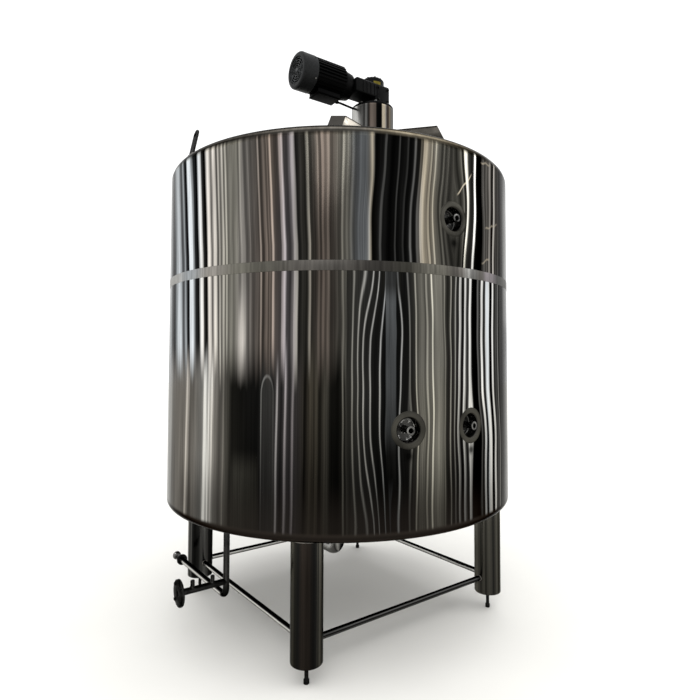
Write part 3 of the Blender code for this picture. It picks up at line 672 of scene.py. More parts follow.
# The roof's outer line from its tip down to the knuckle's foot, moved outwards by offset
def roofLine(offset):
    bend = tank["topKnuckle"]
    arc = knuckle((tank["radius"] - bend, tank["top"] - bend), bend + offset, math.pi / 2 - roofTilt, 0.0)
    tip = np.array([0.0, arc[0, 1] + arc[0, 0] * math.tan(roofTilt)])
    share = np.linspace(0, 1, 12)[:-1, None]
    return np.concatenate([tip * (1 - share) + arc[0] * share, arc])


# The bottom's outer line from the ring's top round the knuckle to the flat's inner edge, moved inwards by offset
def bottomLine(offset):
    bend = tank["bottomKnuckle"]
    arc = knuckle((tank["radius"] - bend, tank["bottom"] + bend), bend - offset, 0.0, -math.pi / 2)
    ends = [(tank["radius"] - offset, tank["ringTop"])], [(tank["flatRadius"] + gap, tank["bottom"] + offset)]
    return np.concatenate([ends[0], arc, ends[1]])


def buildShoulderSteel():
    material, place = newMaterial("shoulder steel", 0.26)
    angle, height, _ = useGroup(aroundAxis, Vector=place).values()
    # the shoulder's painted reflections by angle, then by height a painted bright line on the knuckle with painted
    # shade above it
    colour = rampOf(angle, [
        0, .42, 60, .5, 120, .5, 155, .62, "cool", 168, .5, "cool", 176, .36, 190, .34, "warm", 205, .32, "warm",
        226, .36, "warm", 240, .36, "warm", 246, .42, "tan", 252, .55, "tan", 262, .60, "tan", 270, .44, "tan",
        280, .40, "warm", 287, .8, 291, .75, 294, .42, 300, .5, 330, .5, 360, .42])
    colour = times(colour, rampOf(height, [
        2.56, .6, 2.618, .6, 2.626, .55, 2.631, .9, 2.638, 1.15, 2.643, .8, 2.650, .5, 2.656, .35, 2.662, .35,
        2.668, 1, 2.72, .95], keeping))
    # below, the wall's painted reflections, darkened by painted shade towards the knuckle
    wall = useGroup(wallReflections, Vector=place)["Color"]
    wall = times(wall, rampOf(height, [2.56, 1, 2.600, 1, 2.612, .8, 2.63, .5], keeping))
    colour = mixColour(softly(height, 2.608, 2.628), wall, colour)
    factor = rangeOf(noiseOf(vectorOf(angle * 0.7, height * 2.0), 1.2, 3.0), 0.25, 0.75, 0.75, 1.25)
    grain, blotch = useGroup(brushGrain, Vector=place, Along=(1, 1, 1), Scale=14.0).values()
    return finish(material, times(colour, vectorOf(factor, factor, factor)), rangeOf(blotch, 0.3, 0.7, 0.2, 0.34),
                  grain, 0.05, 0.002)


def buildFootSteel():
    material, place = newMaterial("bottom edge steel", 0.22)
    found = useGroup(wallReflections, Vector=place)
    height = useGroup(aroundAxis, Vector=place)["Height"]
    # painted reflection on the bottom: a brighter line where the knuckle meets the flat, dark brown on the knuckle,
    # then the wall's painted reflections above
    under = rampOf(height, [0.44, .30, "olive", 0.685, .34, "olive", 0.6905, .42, "olive", 0.70, .20, "brown",
                            0.715, .15, "brown", 0.74, .20, "brown"])
    rough = rangeOf(found["Smudge"], 0.3, 0.75, 0.10, 0.24) + rangeOf(height, 0.705, 0.745, 0.10, 0.0)
    return finish(material, mixColour(softly(height, 0.725, 0.745), under, found["Color"]), rough, found["Lines"],
                  0.08, 0.002)


makeCladding("lower_cladding", tank["ringTop"], tank["bandLow"])
makeCladding("upper_cladding", tank["bandHigh"] + gap, tank["top"] - tank["topKnuckle"] - gap)
bandOut, bandIn, bandFoot = tank["radius"] + 0.0012, tank["radius"] - tank["sheet"], tank["bandLow"] + gap
makePiece("seam_band_brushed", [turned(
    [(bandOut, tank["bandHigh"]), (bandOut, bandFoot), (bandIn, bandFoot), (bandIn, tank["bandHigh"])],
    [0.0012, 0.0012, 0, 0], tank["stepsRound"], 3, closed=True)], bandSteel, "seam_band")
makePiece("roof_polished", [revolve(np.concatenate([roofLine(0.0), roofLine(-tank["sheet"])[::-1]]),
                                    tank["stepsRound"])], buildShoulderSteel(), "roof")
bottomSteel = buildFootSteel()
outside, inside = bottomLine(0.0), bottomLine(tank["sheet"])
makePiece("bottom_edge", [revolve(np.concatenate([outside, inside[::-1], outside[:1]]), tank["stepsRound"])],
          bottomSteel, "bottom")
coneTip = tank["bottom"] - tank["flatRadius"] * math.tan(math.radians(tank["bottomSlope"]))
share = np.linspace(0, 1, 14)[:, None]
coneOut = np.array([tank["flatRadius"], tank["bottom"]]) * (1 - share) + np.array([0.0, coneTip]) * share
coneIn = coneOut + [0.0, tank["sheet"]]
makePiece("bottom_cone_sheet", [revolve(np.concatenate([coneIn[::-1], coneOut]), 192)], bottomSteel, "bottom_cone")
print("body made")

ports = {
    "ringRadius": 0.091, "cupRadius": 0.0585, "wall": 0.003, "depth": 0.060, "proud": 0.0022,
    "neck": 0.0165, "ferrule": 0.0215, "bore": 0.0125, "reach": 0.079,
}


# A recessed ring and cup that follow the tank's roundness. At (s, v) the piece stands r(s) from the port's axis, and
# its depth is sqrt(R^2 - (r cos v)^2) - R on the ring, which fades out down the cup.
def portSurface(profile, follow, degrees, height):
    r, level = np.array(profile, float).T
    v = np.linspace(0, math.tau, 129)
    aside, rise = np.outer(r, np.cos(v)), np.outer(r, np.sin(v))
    sag = np.sqrt(tank["radius"] ** 2 - aside ** 2) - tank["radius"]
    reach = tank["radius"] + sag * follow[:, None] + level[:, None]
    out, side = directions(degrees)
    return reach[..., None] * out + aside[..., None] * side + (rise + height)[..., None] * [0, 0, 1]


def buildPortSteel():
    material, place = newMaterial("brushed port steel", 0.34)
    distance = useGroup(aroundAxis, Vector=place)["Distance"]
    # painted shade by distance from the tank's axis: the cup mostly darker than its ring
    depth = rampOf(distance, [0.99, .20, 1.004, .30, 1.020, .18, 1.045, .20, 1.053, .20, 1.0570, .20, "warm",
                              1.0605, .23, "olive", 1.064, .31, "olive"])
    grain, blotch = useGroup(brushGrain, Vector=place, Along=(1, 1, 1), Scale=26.0).values()
    factor = rangeOf(blotch, 0.3, 0.7, 0.5, 1.6)
    # bright swirls deep in the cup, where polished corners catch the light
    swirl = rangeOf(noiseOf(place, 48.0, 3.0, 0.6), 0.56, 0.64) * rangeOf(distance, 1.050, 1.042, 0.0, 0.7)
    colour = mixColour(swirl, times(depth, vectorOf(factor, factor, factor)), shade(.8))
    return finish(material, colour, rangeOf(grain, 0.3, 0.7, 0.24, 0.44), grain, 0.1, 0.001)


def makePort(side, degrees, height, steel):
    ring, cup, wall, proud, depth = (ports[k] for k in ("ringRadius", "cupRadius", "wall", "proud", "depth"))
    front = roundedLine([
        (ring, -0.010), (ring, 0.0006), (ring - 0.010, proud), (cup + 0.006, proud), (cup, -0.004),
        (cup, wall - depth), (0.0, wall - depth)], [0.0, 0.003, 0.010, 0.006, 0.004, 0.006, 0.0])
    back = [(0.0, -depth), (cup + wall, -depth), (cup + wall, -0.010), (ring, -0.010)]
    profile = np.concatenate([front, back])
    follow = np.clip((profile[:, 1] + 0.030) / 0.020, 0, 1)
    makePiece("port_" + side + "_dish", [portSurface(profile, follow, degrees, height)], steel, "port_" + side)
    neck, ferrule, bore, base = ports["neck"], ports["ferrule"], ports["bore"], wall + gap - depth
    mouth, out = base + ports["reach"], directions(degrees)[0]
    makePiece("port_nipple_" + side + "_turned", [turned([
        (0.0, base + 0.003), (bore, base + 0.003), (bore, mouth), (ferrule, mouth), (ferrule, mouth - 0.006),
        (neck, mouth - 0.010), (neck, base + 0.004), (neck + 0.004, base), (0.0, base)],
        [0, 0.001, 0.0012, 0.0016, 0.0012, 0.002, 0.004, 0.001, 0],
        origin=out * tank["radius"] + [0, 0, height], axis=out, side=(0, 0, 1))],
        nippleSteel, "port_nipple_" + side)


portSteel = buildPortSteel()
for side, (degrees, height) in portPlaces.items():
    makePort(side, degrees, height, portSteel)
print("ports made")

stand = {
    "circle": 0.940, "legRadius": 0.0795, "legBottom": 0.100, "studRadius": 0.010, "padRadius": 0.014,
    "padHeight": 0.022, "thread": 0.0030, "threadDepth": 0.0009, "tieRadius": 0.016, "tieHeight": 0.195, "bead": 0.0042,
}
legDegrees = {"front_left": 225, "front_right": 315, "rear_right": 45, "rear_left": 135}
# Each leg's painted reflections by angle round its own axis
legReflections = {
    "front_left": [
        0, .2, 90, .2, 150, .42, "olive", 157, .16, 164, .4, "olive", 180, .33, "olive", 192, .18, "olive",
        206, .14, 222, .2, "brown", 240, .17, "brown", 262, .12, 272, .16, 276, .3, "olive", 279, .16,
        286, .38, "olive", 298, .34, "olive", 306, .12, 312, .32, "olive", 326, .1, 360, .2],
    "front_right": [
        0, .2, 90, .2, 140, .34, "olive", 150, .52, "olive", 168, .56, "olive", 180, .42, "olive",
        190, .28, "olive", 204, .36, "olive", 212, .2, "olive", 224, .32, "olive", 236, .3, "olive", 246, .16,
        254, .25, "olive", 264, .34, "olive", 278, .22, "olive", 288, .4, "olive", 298, .2, 306, .06, 330, .05,
        360, .2],
    "rear_right": [
        0, .2, 90, .2, 150, .3, 180, .42, "olive", 200, .2, 220, .12, 240, .3, "olive", 262, .2, 290, .38, 310, .12,
        360, .2],
    "rear_left": [
        0, .2, 90, .2, 150, .14, 162, .4, 172, .62, 182, .5, 192, .22, 200, .4, 208, .14, 222, .1, 240, .16,
        252, .34, 268, .5, 280, .42, 290, .2, 320, .12, 360, .2],
}


def legPlace(side):
    return stand["circle"] * directions(legDegrees[side])[0]


# A leg is a profile turned round its own axis, with a weld bead under the tank
def makeLeg(side):
    r, foot, head, bead = stand["legRadius"], stand["legBottom"], tank["bottom"] - gap, stand["bead"]
    place = legPlace(side)
    steel = buildRoundSteel("leg steel " + side.replace("_", " "), tuple(place), legReflections[side], roughness=0.2,
                            contrast=0.35, lineScale=0.5, fadeHeights=(0.5, 0.69, 0.75))
    makePiece("leg_" + side + "_pipe", [turned(
        [(0, head), (r, head), (r, foot), (r - 0.012, foot), (0, foot)], [0, 0, 0.007, 0, 0], 96, 5, origin=place)],
        steel, "leg_" + side)
    a = np.linspace(0, math.tau, 9)
    ring = revolve(np.column_stack([r + bead * np.cos(a), head - bead + bead * np.sin(a)]), 96)
    makePiece("leg_weld_" + side, [ring + place], weldSteel)


# A threaded stud: r = radius - depth * sawtooth((z / pitch) - turn), on its round pad
def makeFoot(side):
    pad, high, wide = stand["padHeight"], stand["legBottom"] - gap, stand["padRadius"]
    z = np.linspace(pad, high, int((high - pad) / stand["thread"] * 8))[:, None]
    v = np.linspace(0, math.tau, 33)
    phase = (z / stand["thread"] - v / math.tau) % 1.0
    r = stand["studRadius"] - stand["threadDepth"] * np.abs(2 * phase - 1)
    thread = np.stack([r * np.cos(v), r * np.sin(v), np.broadcast_to(z, r.shape)], axis=2)
    disc = turned([(0, pad), (wide, pad), (wide, 0), (0, 0)], [0, 0.003, 0.001, 0], 32, 3)
    makePiece("foot_" + side + "_stud", [grid + legPlace(side) for grid in (
        capped(thread, (0, 0, pad), (0, 0, high)), disc)], studSteel, "foot_" + side, sharp=50)


# A bar between two mains. At (s, v) it stands at A + (c(v) + s (L - c(v) - d(v))) D + r (cos v E + sin v Z). Its start
# follows the main it meets, c(v) = sqrt(main^2 - (r cos v)^2), and so does its end, where d is c, or it is flat
def copedBar(start, end, r, main, steps, bothEnds=True):
    length = np.linalg.norm(end - start)
    along = (end - start) / length
    v = np.linspace(0, math.tau, 41)
    cope = np.sqrt((main + gap) ** 2 - (r * np.cos(v)) ** 2 + 1e-9)
    reach = cope + np.linspace(0, 1, steps)[:, None] * (length - cope - cope * bothEnds)
    ring = r * (np.cos(v)[:, None] * np.cross(along, [0, 0, 1.0]) + np.sin(v)[:, None] * np.array([0, 0, 1.0]))
    near = (main + gap) * along
    return capped(start + reach[..., None] * along + ring, start + near, end - near * bothEnds), cope, ring, along


def makeTie(name, first, second, steel):
    start, end = (legPlace(side) + [0, 0, stand["tieHeight"]] for side in (first, second))
    grid, cope, ring, along = copedBar(start, end, stand["tieRadius"], stand["legRadius"], 40)
    makePiece("tie_bar_" + name + "_bar", [grid], steel, "tie_bar_" + name)
    beads = [sweep(origin + sign * (cope[:-1, None] + 0.0008) * along + ring[:-1], 0.0026, ring[:-1], 8, closed=True)
             for origin, sign in ((start, 1.0), (end, -1.0))]
    makePiece("tie_weld_" + name, beads, weldSteel)


# A bar's finish: painted reflection by height across the bar, so that its upper and lower sides differ. Its row is in
# radii.
def buildBarSteel(name, row, axis):
    material, place = newMaterial(name, 0.24)
    parts = addNode("SeparateXYZ", {0: place})
    wobble = noiseOf(vectorOf(parts[axis] * 1.4), 2.0, 3.0)
    across = (parts[2] + (wobble - 0.5) * 0.006 - stand["tieHeight"]) / stand["tieRadius"]
    factor = rangeOf(noiseOf(vectorOf(parts[axis]), 3.0, 4.0), 0.3, 0.7, 0.7, 1.3)
    grain, blotch = useGroup(brushGrain, Vector=place, Along=(1, 1, 1), Scale=60.0).values()
    return finish(material, times(rampOf(across, row), vectorOf(factor, factor, factor)),
                  rangeOf(blotch, 0.3, 0.7, 0.19, 0.34), grain, 0.08, 0.0006)


darkReflectionBarSteel = buildBarSteel("front bar steel", [
    -1, .15, -.75, .07, -.5, .10, -.35, .34, -.2, .32, 0, .10, .2, .08, .4, .26, .6, .30, .75, .10, 1, .08], 0)
brightReflectionBarSteel = buildBarSteel("side bar steel", [
    -1, .04, -.8, .06, -.55, .30, -.3, .75, 0, .92, .3, .85, .5, .35, .65, .08, 1, .05], 1)
for side in legDegrees:
    makeLeg(side)
    makeFoot(side)
makeTie("front", "front_left", "front_right", darkReflectionBarSteel)
makeTie("right", "front_right", "rear_right", brightReflectionBarSteel)
makeTie("rear", "rear_right", "rear_left", brightReflectionBarSteel)
makeTie("left", "rear_left", "front_left", brightReflectionBarSteel)
print("stand made")

piping = {
    "dropX": -0.840, "dropY": -0.1385, "radius": 0.0165, "runHeight": 0.2737, "runEnd": 0.540, "bend": 0.042,
    "clampStart": 0.514, "clampEnd": 0.530, "clampRadius": 0.032,
    "branchHeight": 0.3525, "flangeX": -1.102, "flangeRadius": 0.0682, "flangeThick": 0.0135,
    "stubRadius": 0.011, "stubTop": 0.402, "stubs": (-1.025, -0.917),
    "wall": 0.003, "faceStep": 0.0016, "faceRadius": 0.043, "boltCircle": 0.054, "runFerrule": 0.0252,
    "outletRadius": 0.038, "outletBend": 0.120, "outletAxis": 0.303, "outletEnd": 0.260, "outletFerrule": 0.0455,
}


# The drop pipe is dark where it stands, and where it runs along the side a painted bright reflection band lies along it
# between dark edges
def buildDropSteel():
    material, place = newMaterial("drop pipe steel", 0.22)
    _, y, z = addNode("SeparateXYZ", {0: place})
    grain, blotch = useGroup(brushGrain, Vector=place, Along=(3, 3, 3), Scale=10.0).values()
    upright = mixColour(rangeOf(blotch, 0.35, 0.65), shade(.09), shade(.24))
    lying = rampOf(z - piping["runHeight"], [
        -0.0165, .04, -0.012, .07, -0.008, .35, -0.003, .85, 0.004, .92, 0.008, .45, 0.011, .08, 0.0165, .06])
    colour = mixColour(softly(y, piping["dropY"] + 0.03, piping["dropY"] + 0.06), upright, lying)
    return finish(material, colour, rangeOf(grain, 0.3, 0.7, 0.16, 0.3), grain, 0.05, 0.001)


def makePiping():
    x, y, r, low = piping["dropX"], piping["dropY"], piping["radius"], piping["runHeight"]
    route = roundedLine([(x, y, tank["bottom"] - gap), (x, y, low), (x, piping["runEnd"], low)],
                        [0, piping["bend"], 0], 14)
    # a slight swelling where each bend is welded to its straight pipe
    straight = tank["bottom"] - gap - low - piping["bend"]
    welds = np.array([straight, straight + piping["bend"] * math.pi / 2])
    route, places = denser(route, 0.03, (welds[:, None] + np.linspace(-0.006, 0.006, 9)).ravel())
    swell = np.exp(-((places[:, None] - welds[None]) / 0.0028) ** 2).sum(axis=1) * 0.0009
    makePiece("jacket_drop_pipe_bent", [sweep(route, r + swell, (1, 0, 0), 40)], buildDropSteel(), "jacket_drop_pipe")
    # the branch pipe, coped to the drop pipe, and its two stubs with rounded tops
    thick, high, top, sr = piping["flangeThick"], piping["branchHeight"], piping["stubTop"], piping["stubRadius"]
    start, end = np.array([x, y, high]), np.array([piping["flangeX"] + thick + gap, y, high])
    grids = [copedBar(start, end, r, r, 24, bothEnds=False)[0]]
    for place in piping["stubs"]:
        collar = [(0, high + r + 0.0035), (sr + 0.0005, high + r + 0.0035), (sr + 0.0035, high + r - 0.001),
                  (sr + 0.0035, high + r - 0.006), (0, high + r - 0.006)]
        grids += [turned([(0, top), (sr, top), (sr, high), (0, high)], [0, 0.004, 0, 0], 32, origin=(place, y, 0)),
                  turned(collar, [0, 0.001, 0.002, 0, 0], 32, 3, origin=(place, y, 0))]
    makePiece("branch_pipe_with_stubs", grids, darkPipeSteel, "branch_pipe")
    # the flange: a ring with eased edges, a raised face and four bolts
    fr, bore, face = piping["flangeRadius"], r - piping["wall"], piping["faceStep"]
    raised, circle = piping["faceRadius"], piping["boltCircle"]
    flange = turned([(bore, thick), (fr, thick), (fr, face), (raised, face), (raised, 0.0), (bore, 0.0)],
                    [0.0005, 0.0015, 0.0015, 0.0006, 0.0008, 0.001], 96, 3, True,
                    (piping["flangeX"], y, high), (1, 0, 0), (0, 0, 1))
    makePiece("branch_flange_turned", [flange], darkPipeSteel, "branch_flange")
    a = np.radians(np.arange(4) * 90 + 45)
    centres = np.column_stack([
        np.full(4, piping["flangeX"] + face), y + circle * np.cos(a), high + circle * np.sin(a)])
    makePiece("branch_flange_bolts", boltsAt(centres, 0.015, 0.0055, (-1, 0, 0), (0, 1, 0)), studSteel)
    # the clamp and the end ferrule of the side run
    cr, first, last = piping["clampRadius"], piping["clampStart"], piping["clampEnd"]
    clamp = turned([(cr, last), (cr, first), (r + gap, first), (r + gap, last)], [0.004, 0.004, 0, 0], 64, 4, True,
                   (x, 0, low), (0, 1, 0), (0, 0, 1))
    makePiece("run_clamp_turned", [clamp], darkPipeSteel, "run_clamp")
    fr = piping["runFerrule"]
    ferrule = turned([(fr, 0.080), (fr, 0.074), (r, 0.068), (r, gap), (bore, gap), (bore, 0.080)],
                     [0.0015, 0.001, 0.002, 0, 0, 0.0008], 64, 3, True,
                     (x, piping["runEnd"], low), (0, 1, 0), (0, 0, 1))
    makePiece("run_ferrule_turned", [ferrule], nippleSteel, "run_ferrule")
    # the outlet: down from the cone's tip, round the bend and out to the rear
    axis, end, wide, fr = (piping[k] for k in ("outletAxis", "outletEnd", "outletRadius", "outletFerrule"))
    route = roundedLine([(0, 0, coneTip + 0.012), (0, 0, axis), (0, end, axis)], [0, piping["outletBend"], 0], 24)
    # the outlet's painted reflections by angle round the tank's axis
    outletSteel = buildRoundSteel("outlet steel", (0, 0, 0), [
        0, .2, 60, .3, 120, .6, 160, .5, 185, .30, 200, .6, 215, .88, 232, .80, 245, .5, 258, .22, 275, .12, 300, .10,
        360, .2], roughness=0.2, contrast=0.25, lineScale=0.3)
    makePiece("outlet_elbow_bent", [sweep(denser(route, 0.02)[0], wide, (1, 0, 0), 48)], outletSteel, "outlet_elbow")
    bore = wide - piping["wall"]
    ferrule = turned([(fr, 0.045), (fr, 0.038), (wide, 0.030), (wide, gap), (bore, gap), (bore, 0.045)],
                     [0.002, 0.001, 0.002, 0, 0, 0.001], 64, 3, True, (0, end, axis), (0, 1, 0), (0, 0, 1))
    makePiece("outlet_ferrule_turned", [ferrule], satinSteel, "outlet_ferrule")


makePiping()
print("piping made")

mount = {
    "x": 0.153, "y": -0.152, "radius": 0.1365, "top": 3.175, "flange": 0.015, "boltCircle": 0.122,
    "ribFoot": 2.70, "ribTop": 3.026, "ribSlope": 64.0,
    "ribs": {"left": (196.5, 0.355, 0.0744, 0.719, 0.009), "right": (309, 0.429, 0.085, 0.0, 0.0),
             "rear": (72, 0.347, 0.085, 0.0, 0.0)},
}
mountCentre = np.array([mount["x"], mount["y"], 0.0])


# A pipe that stands on the roof's cone, with a weld bead round its foot: z = foot(v) + s (top - foot(v)), where the
# foot is the roof's height at centre + r (cos v, sin v)
def makeConePipe(names, centre, r, top, rows, bead, steel):
    v = np.linspace(0, math.tau, 129)
    ring = np.stack([np.cos(v), np.sin(v), 0 * v], axis=1)
    foot = roofHeight(np.linalg.norm(centre + r * ring, axis=1))
    z = foot + np.linspace(0, 1, rows)[:, None] * (top - foot)
    grid = centre + r * ring + z[..., None] * [0, 0, 1]
    makePiece(names[0], [capped(grid, centre + [0, 0, foot.mean()], centre + [0, 0, top])], steel, names[1])
    path = (centre + r * ring + (foot + 0.001)[:, None] * [0, 0, 1])[:-1]
    makePiece(names[2], [sweep(path, bead, ring[:-1], 8, closed=True)], weldSteel)


# A folded rib: its outline (distance, height) is carried across its width, leaning by slant, and every point of the
# lower edge stands on the roof's cone
def makeRib(name, degrees, reach, width, slant, aside, steel):
    out, side = directions(degrees)
    start = math.sqrt(mount["radius"] ** 2 - (width / 2) ** 2) + 0.002
    foot, top, ease = mount["ribFoot"], mount["ribTop"], 0.0015
    spread = (top - foot) / math.tan(math.radians(mount["ribSlope"]))
    upper, _ = denser(roundedLine([(start, foot), (start, top), (reach, top), (reach + spread, foot)],
                                  [0, 0, 0.006, 0]), 0.03)
    lower = np.linspace(upper[-1], upper[0], 16)[1:-1]
    outline = np.concatenate([upper, lower])
    isFoot = np.arange(len(outline)) >= len(upper) - 1
    isFoot[0] = True
    isFar, isTop, half = outline[:, 0] > start + 0.05, outline[:, 1] > top - 0.002, width / 2
    rows = []
    for level, small in ((-half, ease), (-half + ease, 0), (0, 0), (half - ease, 0), (half, ease)):
        flat = outline + np.column_stack([(level * slant - small) * isFar, -small * isTop])
        ground = mountCentre + flat[:, :1] * out - (level + aside) * side
        cone = roofHeight(np.linalg.norm(ground, axis=1))
        # the sloping end is carried down until it meets the cone
        z = np.where(isFoot | (flat[:, 1] < cone + 0.0005), cone + 0.0004, flat[:, 1])
        rows.append(ground + z[:, None] * [0, 0, 1])
    rows = np.stack(rows)
    middles = rows.mean(axis=1)
    grid = capped(np.concatenate([rows, rows[:, :1]], axis=1), middles[0], middles[-1])
    makePiece("roof_rib_" + name + "_folded", [grid], steel, "roof_rib_" + name)


# A folded plate's finish: a face colour with painted shade towards its edges, and the sloping end, found by its normal,
# in its own painted brightness
def buildRibSteel(name, face, end, tint):
    material, place = newMaterial(name, 0.28)
    height = addNode("SeparateXYZ", {0: place})[2]
    grain, blotch = useGroup(brushGrain, Vector=place, Along=(1, 1, 2), Scale=24.0).values()
    colour = mixColour(rangeOf(blotch, 0.35, 0.65), shade(face - 0.06, tint), shade(face + 0.08, tint))
    colour = times(colour, rampOf(height, [
        2.70, .5, 2.95, .6, 2.972, .8, 2.985, 1.0, 3.012, 1.0, 3.019, .5, 3.026, .3], keeping))
    normal = Wire(material.node_tree.nodes.new("ShaderNodeNewGeometry").outputs["Normal"])
    lean = addNode("SeparateXYZ", {0: normal})[2]
    colour = mixColour(between(lean, 0.1, 0.25, 0.7, 0.9), colour, shade(end, tint))
    return finish(material, colour, rangeOf(grain, 0.3, 0.7, 0.2, 0.36), grain, 0.06, 0.001)


def makeMount():
    # the pedestal's painted reflections by angle round its own axis
    steel = buildRoundSteel("pedestal steel", tuple(mountCentre), [
        0, .3, 90, .4, 140, .8, 168, .8, 184, .76, 198, .66, 204, .5, 206.5, .22, 209, .22, 211, .42, 215, .38,
        218, .16, 222, .17, "brown", 226, .32, "brown", 238, .3, "brown", 243, .06, 256, .06, 259, .66, "tan",
        265, .6, "tan", 270, .42, "warm", 273, .18, "brown", 281, .24, "brown", 285, .46, "tan", 292, .42, "warm",
        300, .55, 306, .34, 330, .4, 360, .3],
        roughness=0.32, contrast=0.25, lineScale=0.4, fadeHeights=(3.172, 3.164, 1.4))
    r, top, face = mount["radius"], mount["top"], mount["top"] + mount["flange"]
    makeConePipe(("pedestal_pipe", "pedestal", "pedestal_weld"), mountCentre, r, top, 12, 0.005, steel)
    flange = turned([(0, face), (r, face), (r, top + gap), (0, top + gap)], [0, 0.002, 0.002, 0], 96, 3,
                    origin=mountCentre)
    makePiece("pedestal_flange_turned", [flange], gearPaint, "pedestal_flange")
    circle = mount["boltCircle"]
    heads = [mountCentre + circle * directions(degrees)[0] + [0, 0, face] for degrees in range(15, 360, 45)]
    makePiece("pedestal_flange_bolts", boltsAt(heads, 0.016, 0.008), boltSteel)
    # each rib's painted light and shade: the brightness of its faces and of its sloping end, and a tint
    shades = {"left": (.97, .24, "warm"), "right": (.27, .75, "warm"), "rear": (.45, .7, "plain")}
    for name, sizes in mount["ribs"].items():
        makeRib(name, *sizes, buildRibSteel(name + " rib steel", *shades[name]))


makeMount()
print("agitator mount made")

gear = {
    "angle": 178.0, "height": 3.281, "front": 0.067, "neck": 0.050, "back": 0.200, "halfWidth": 0.100,
    "neckSide": 0.040, "under": 3.225, "top": 3.320, "foot": 3.1903, "coverRadius": 0.075, "coverTop": 3.383,
    "adapterRadius": 0.092, "adapterNeck": 0.080, "adapterEnd": 0.272, "bodyEnd": 0.480, "finTip": 0.108,
    "finRoot": 0.098, "fins": 32, "cowlEnd": 0.578, "cowlRadius": 0.110,
    "boxStart": 0.290, "boxEnd": 0.455, "boxWidth": 0.110, "boxBottom": 3.157, "boxRoof": 0.072,
    "coverBolts": 0.060, "adapterBolts": 0.083, "grilleRings": (0.018, 0.032, 0.046, 0.060, 0.074), "blades": 9,
    "conduitRadius": 0.007, "conduitLow": 3.1645, "conduitHigh": 3.158,
    "plateFrom": 58.0, "plateTo": 96.0, "plateLow": 3.3215, "plateHigh": 3.350, "plateProud": 0.0015,
}
motorLine = {"origin": (0, 0, gear["height"]), "axis": (1, 0, 0), "side": (0, 0, 1)}  # the motor's own axis


# A piece from local grids: pedestal + x along the motor + y near + z up
def makeGearPiece(name, grids, paint, node=None):
    makePiece(name, [standAt(grid, mountCentre, (0, 0, 1), directions(gear["angle"])[0]) for grid in grids],
              paint, node)


def gearBolts(places, axis, across, height):
    return boltsAt(places, across, height, axis, (0.3, 0.5, 0.9))


def makeGearbox():
    g = gear
    half, foot, top = g["halfWidth"], g["foot"], g["top"]
    parts = [
        roundedBox((-g["front"], -half, foot), (g["neck"], half, top), 0.014, 5),
        roundedBox((g["neck"] - 0.040, -g["neckSide"], g["under"]), (g["back"], half, top), 0.014, 5),
        roundedBox((-g["front"] + 0.010, half - 0.004, foot + 0.012), (g["neck"] - 0.010, half + 0.004, top - 0.012),
                   0.0035, 3)]
    for x in g["neck"] + 0.030 * np.arange(4):
        parts.append(roundedBox((x + 0.004, half - 0.003, g["under"] + 0.012), (x + 0.010, half + 0.004, top - 0.012),
                                0.0025, 3))
    makeGearPiece("gearbox_housing_cast", parts, gearPaint, "gearbox_housing")
    r, high, low = g["coverRadius"], g["coverTop"], top + gap
    line = roundedLine([(0, high), (r - 0.012, high), (r, high - 0.012), (r, low + 0.006), (r + 0.006, low + 0.006),
                        (r + 0.006, low), (0, low)], [0, 0.004, 0.004, 0.001, 0.0015, 0, 0], 4)
    makeGearPiece("gearbox_cover_turned", [revolve(line, 96)], gearPaint, "gearbox_cover")
    heads = [g["coverBolts"] * directions(degrees)[0] + [0, 0, high - 0.0015]
             for degrees in np.arange(8) * 45 + 22.5]
    sideHeads = [(x, half + 0.004, z) for x in (-0.046, 0.030) for z in (foot + 0.026, top - 0.026)]
    bolts = gearBolts(heads, (0, 0, 1), 0.010, 0.0035) + gearBolts(sideHeads, (0, 1, 0), 0.012, 0.007)
    makeGearPiece("gearbox_bolts", bolts, studSteel)
    # the bare plate is bent round the cover's near side: (R cos t, R sin t, z), with R and z round its section
    t = np.radians(np.linspace(g["plateFrom"], g["plateTo"], 17))[None]
    inner, outer, low, high = r + 0.0002, r + g["plateProud"], g["plateLow"], g["plateHigh"]
    radius, z = np.array([(inner, low), (outer, low + 0.001), (outer, high - 0.001), (inner, high), (inner, low)]).T
    sheet = np.stack([np.outer(radius, np.cos(t)), np.outer(radius, np.sin(t)), np.outer(z, 1 + 0 * t)], axis=2)
    sheet = np.swapaxes(sheet, 0, 1)
    makeGearPiece("cover_plate_blank", [capped(sheet, sheet[0, :4].mean(axis=0), sheet[-1, :4].mean(axis=0))],
                  platePaint)


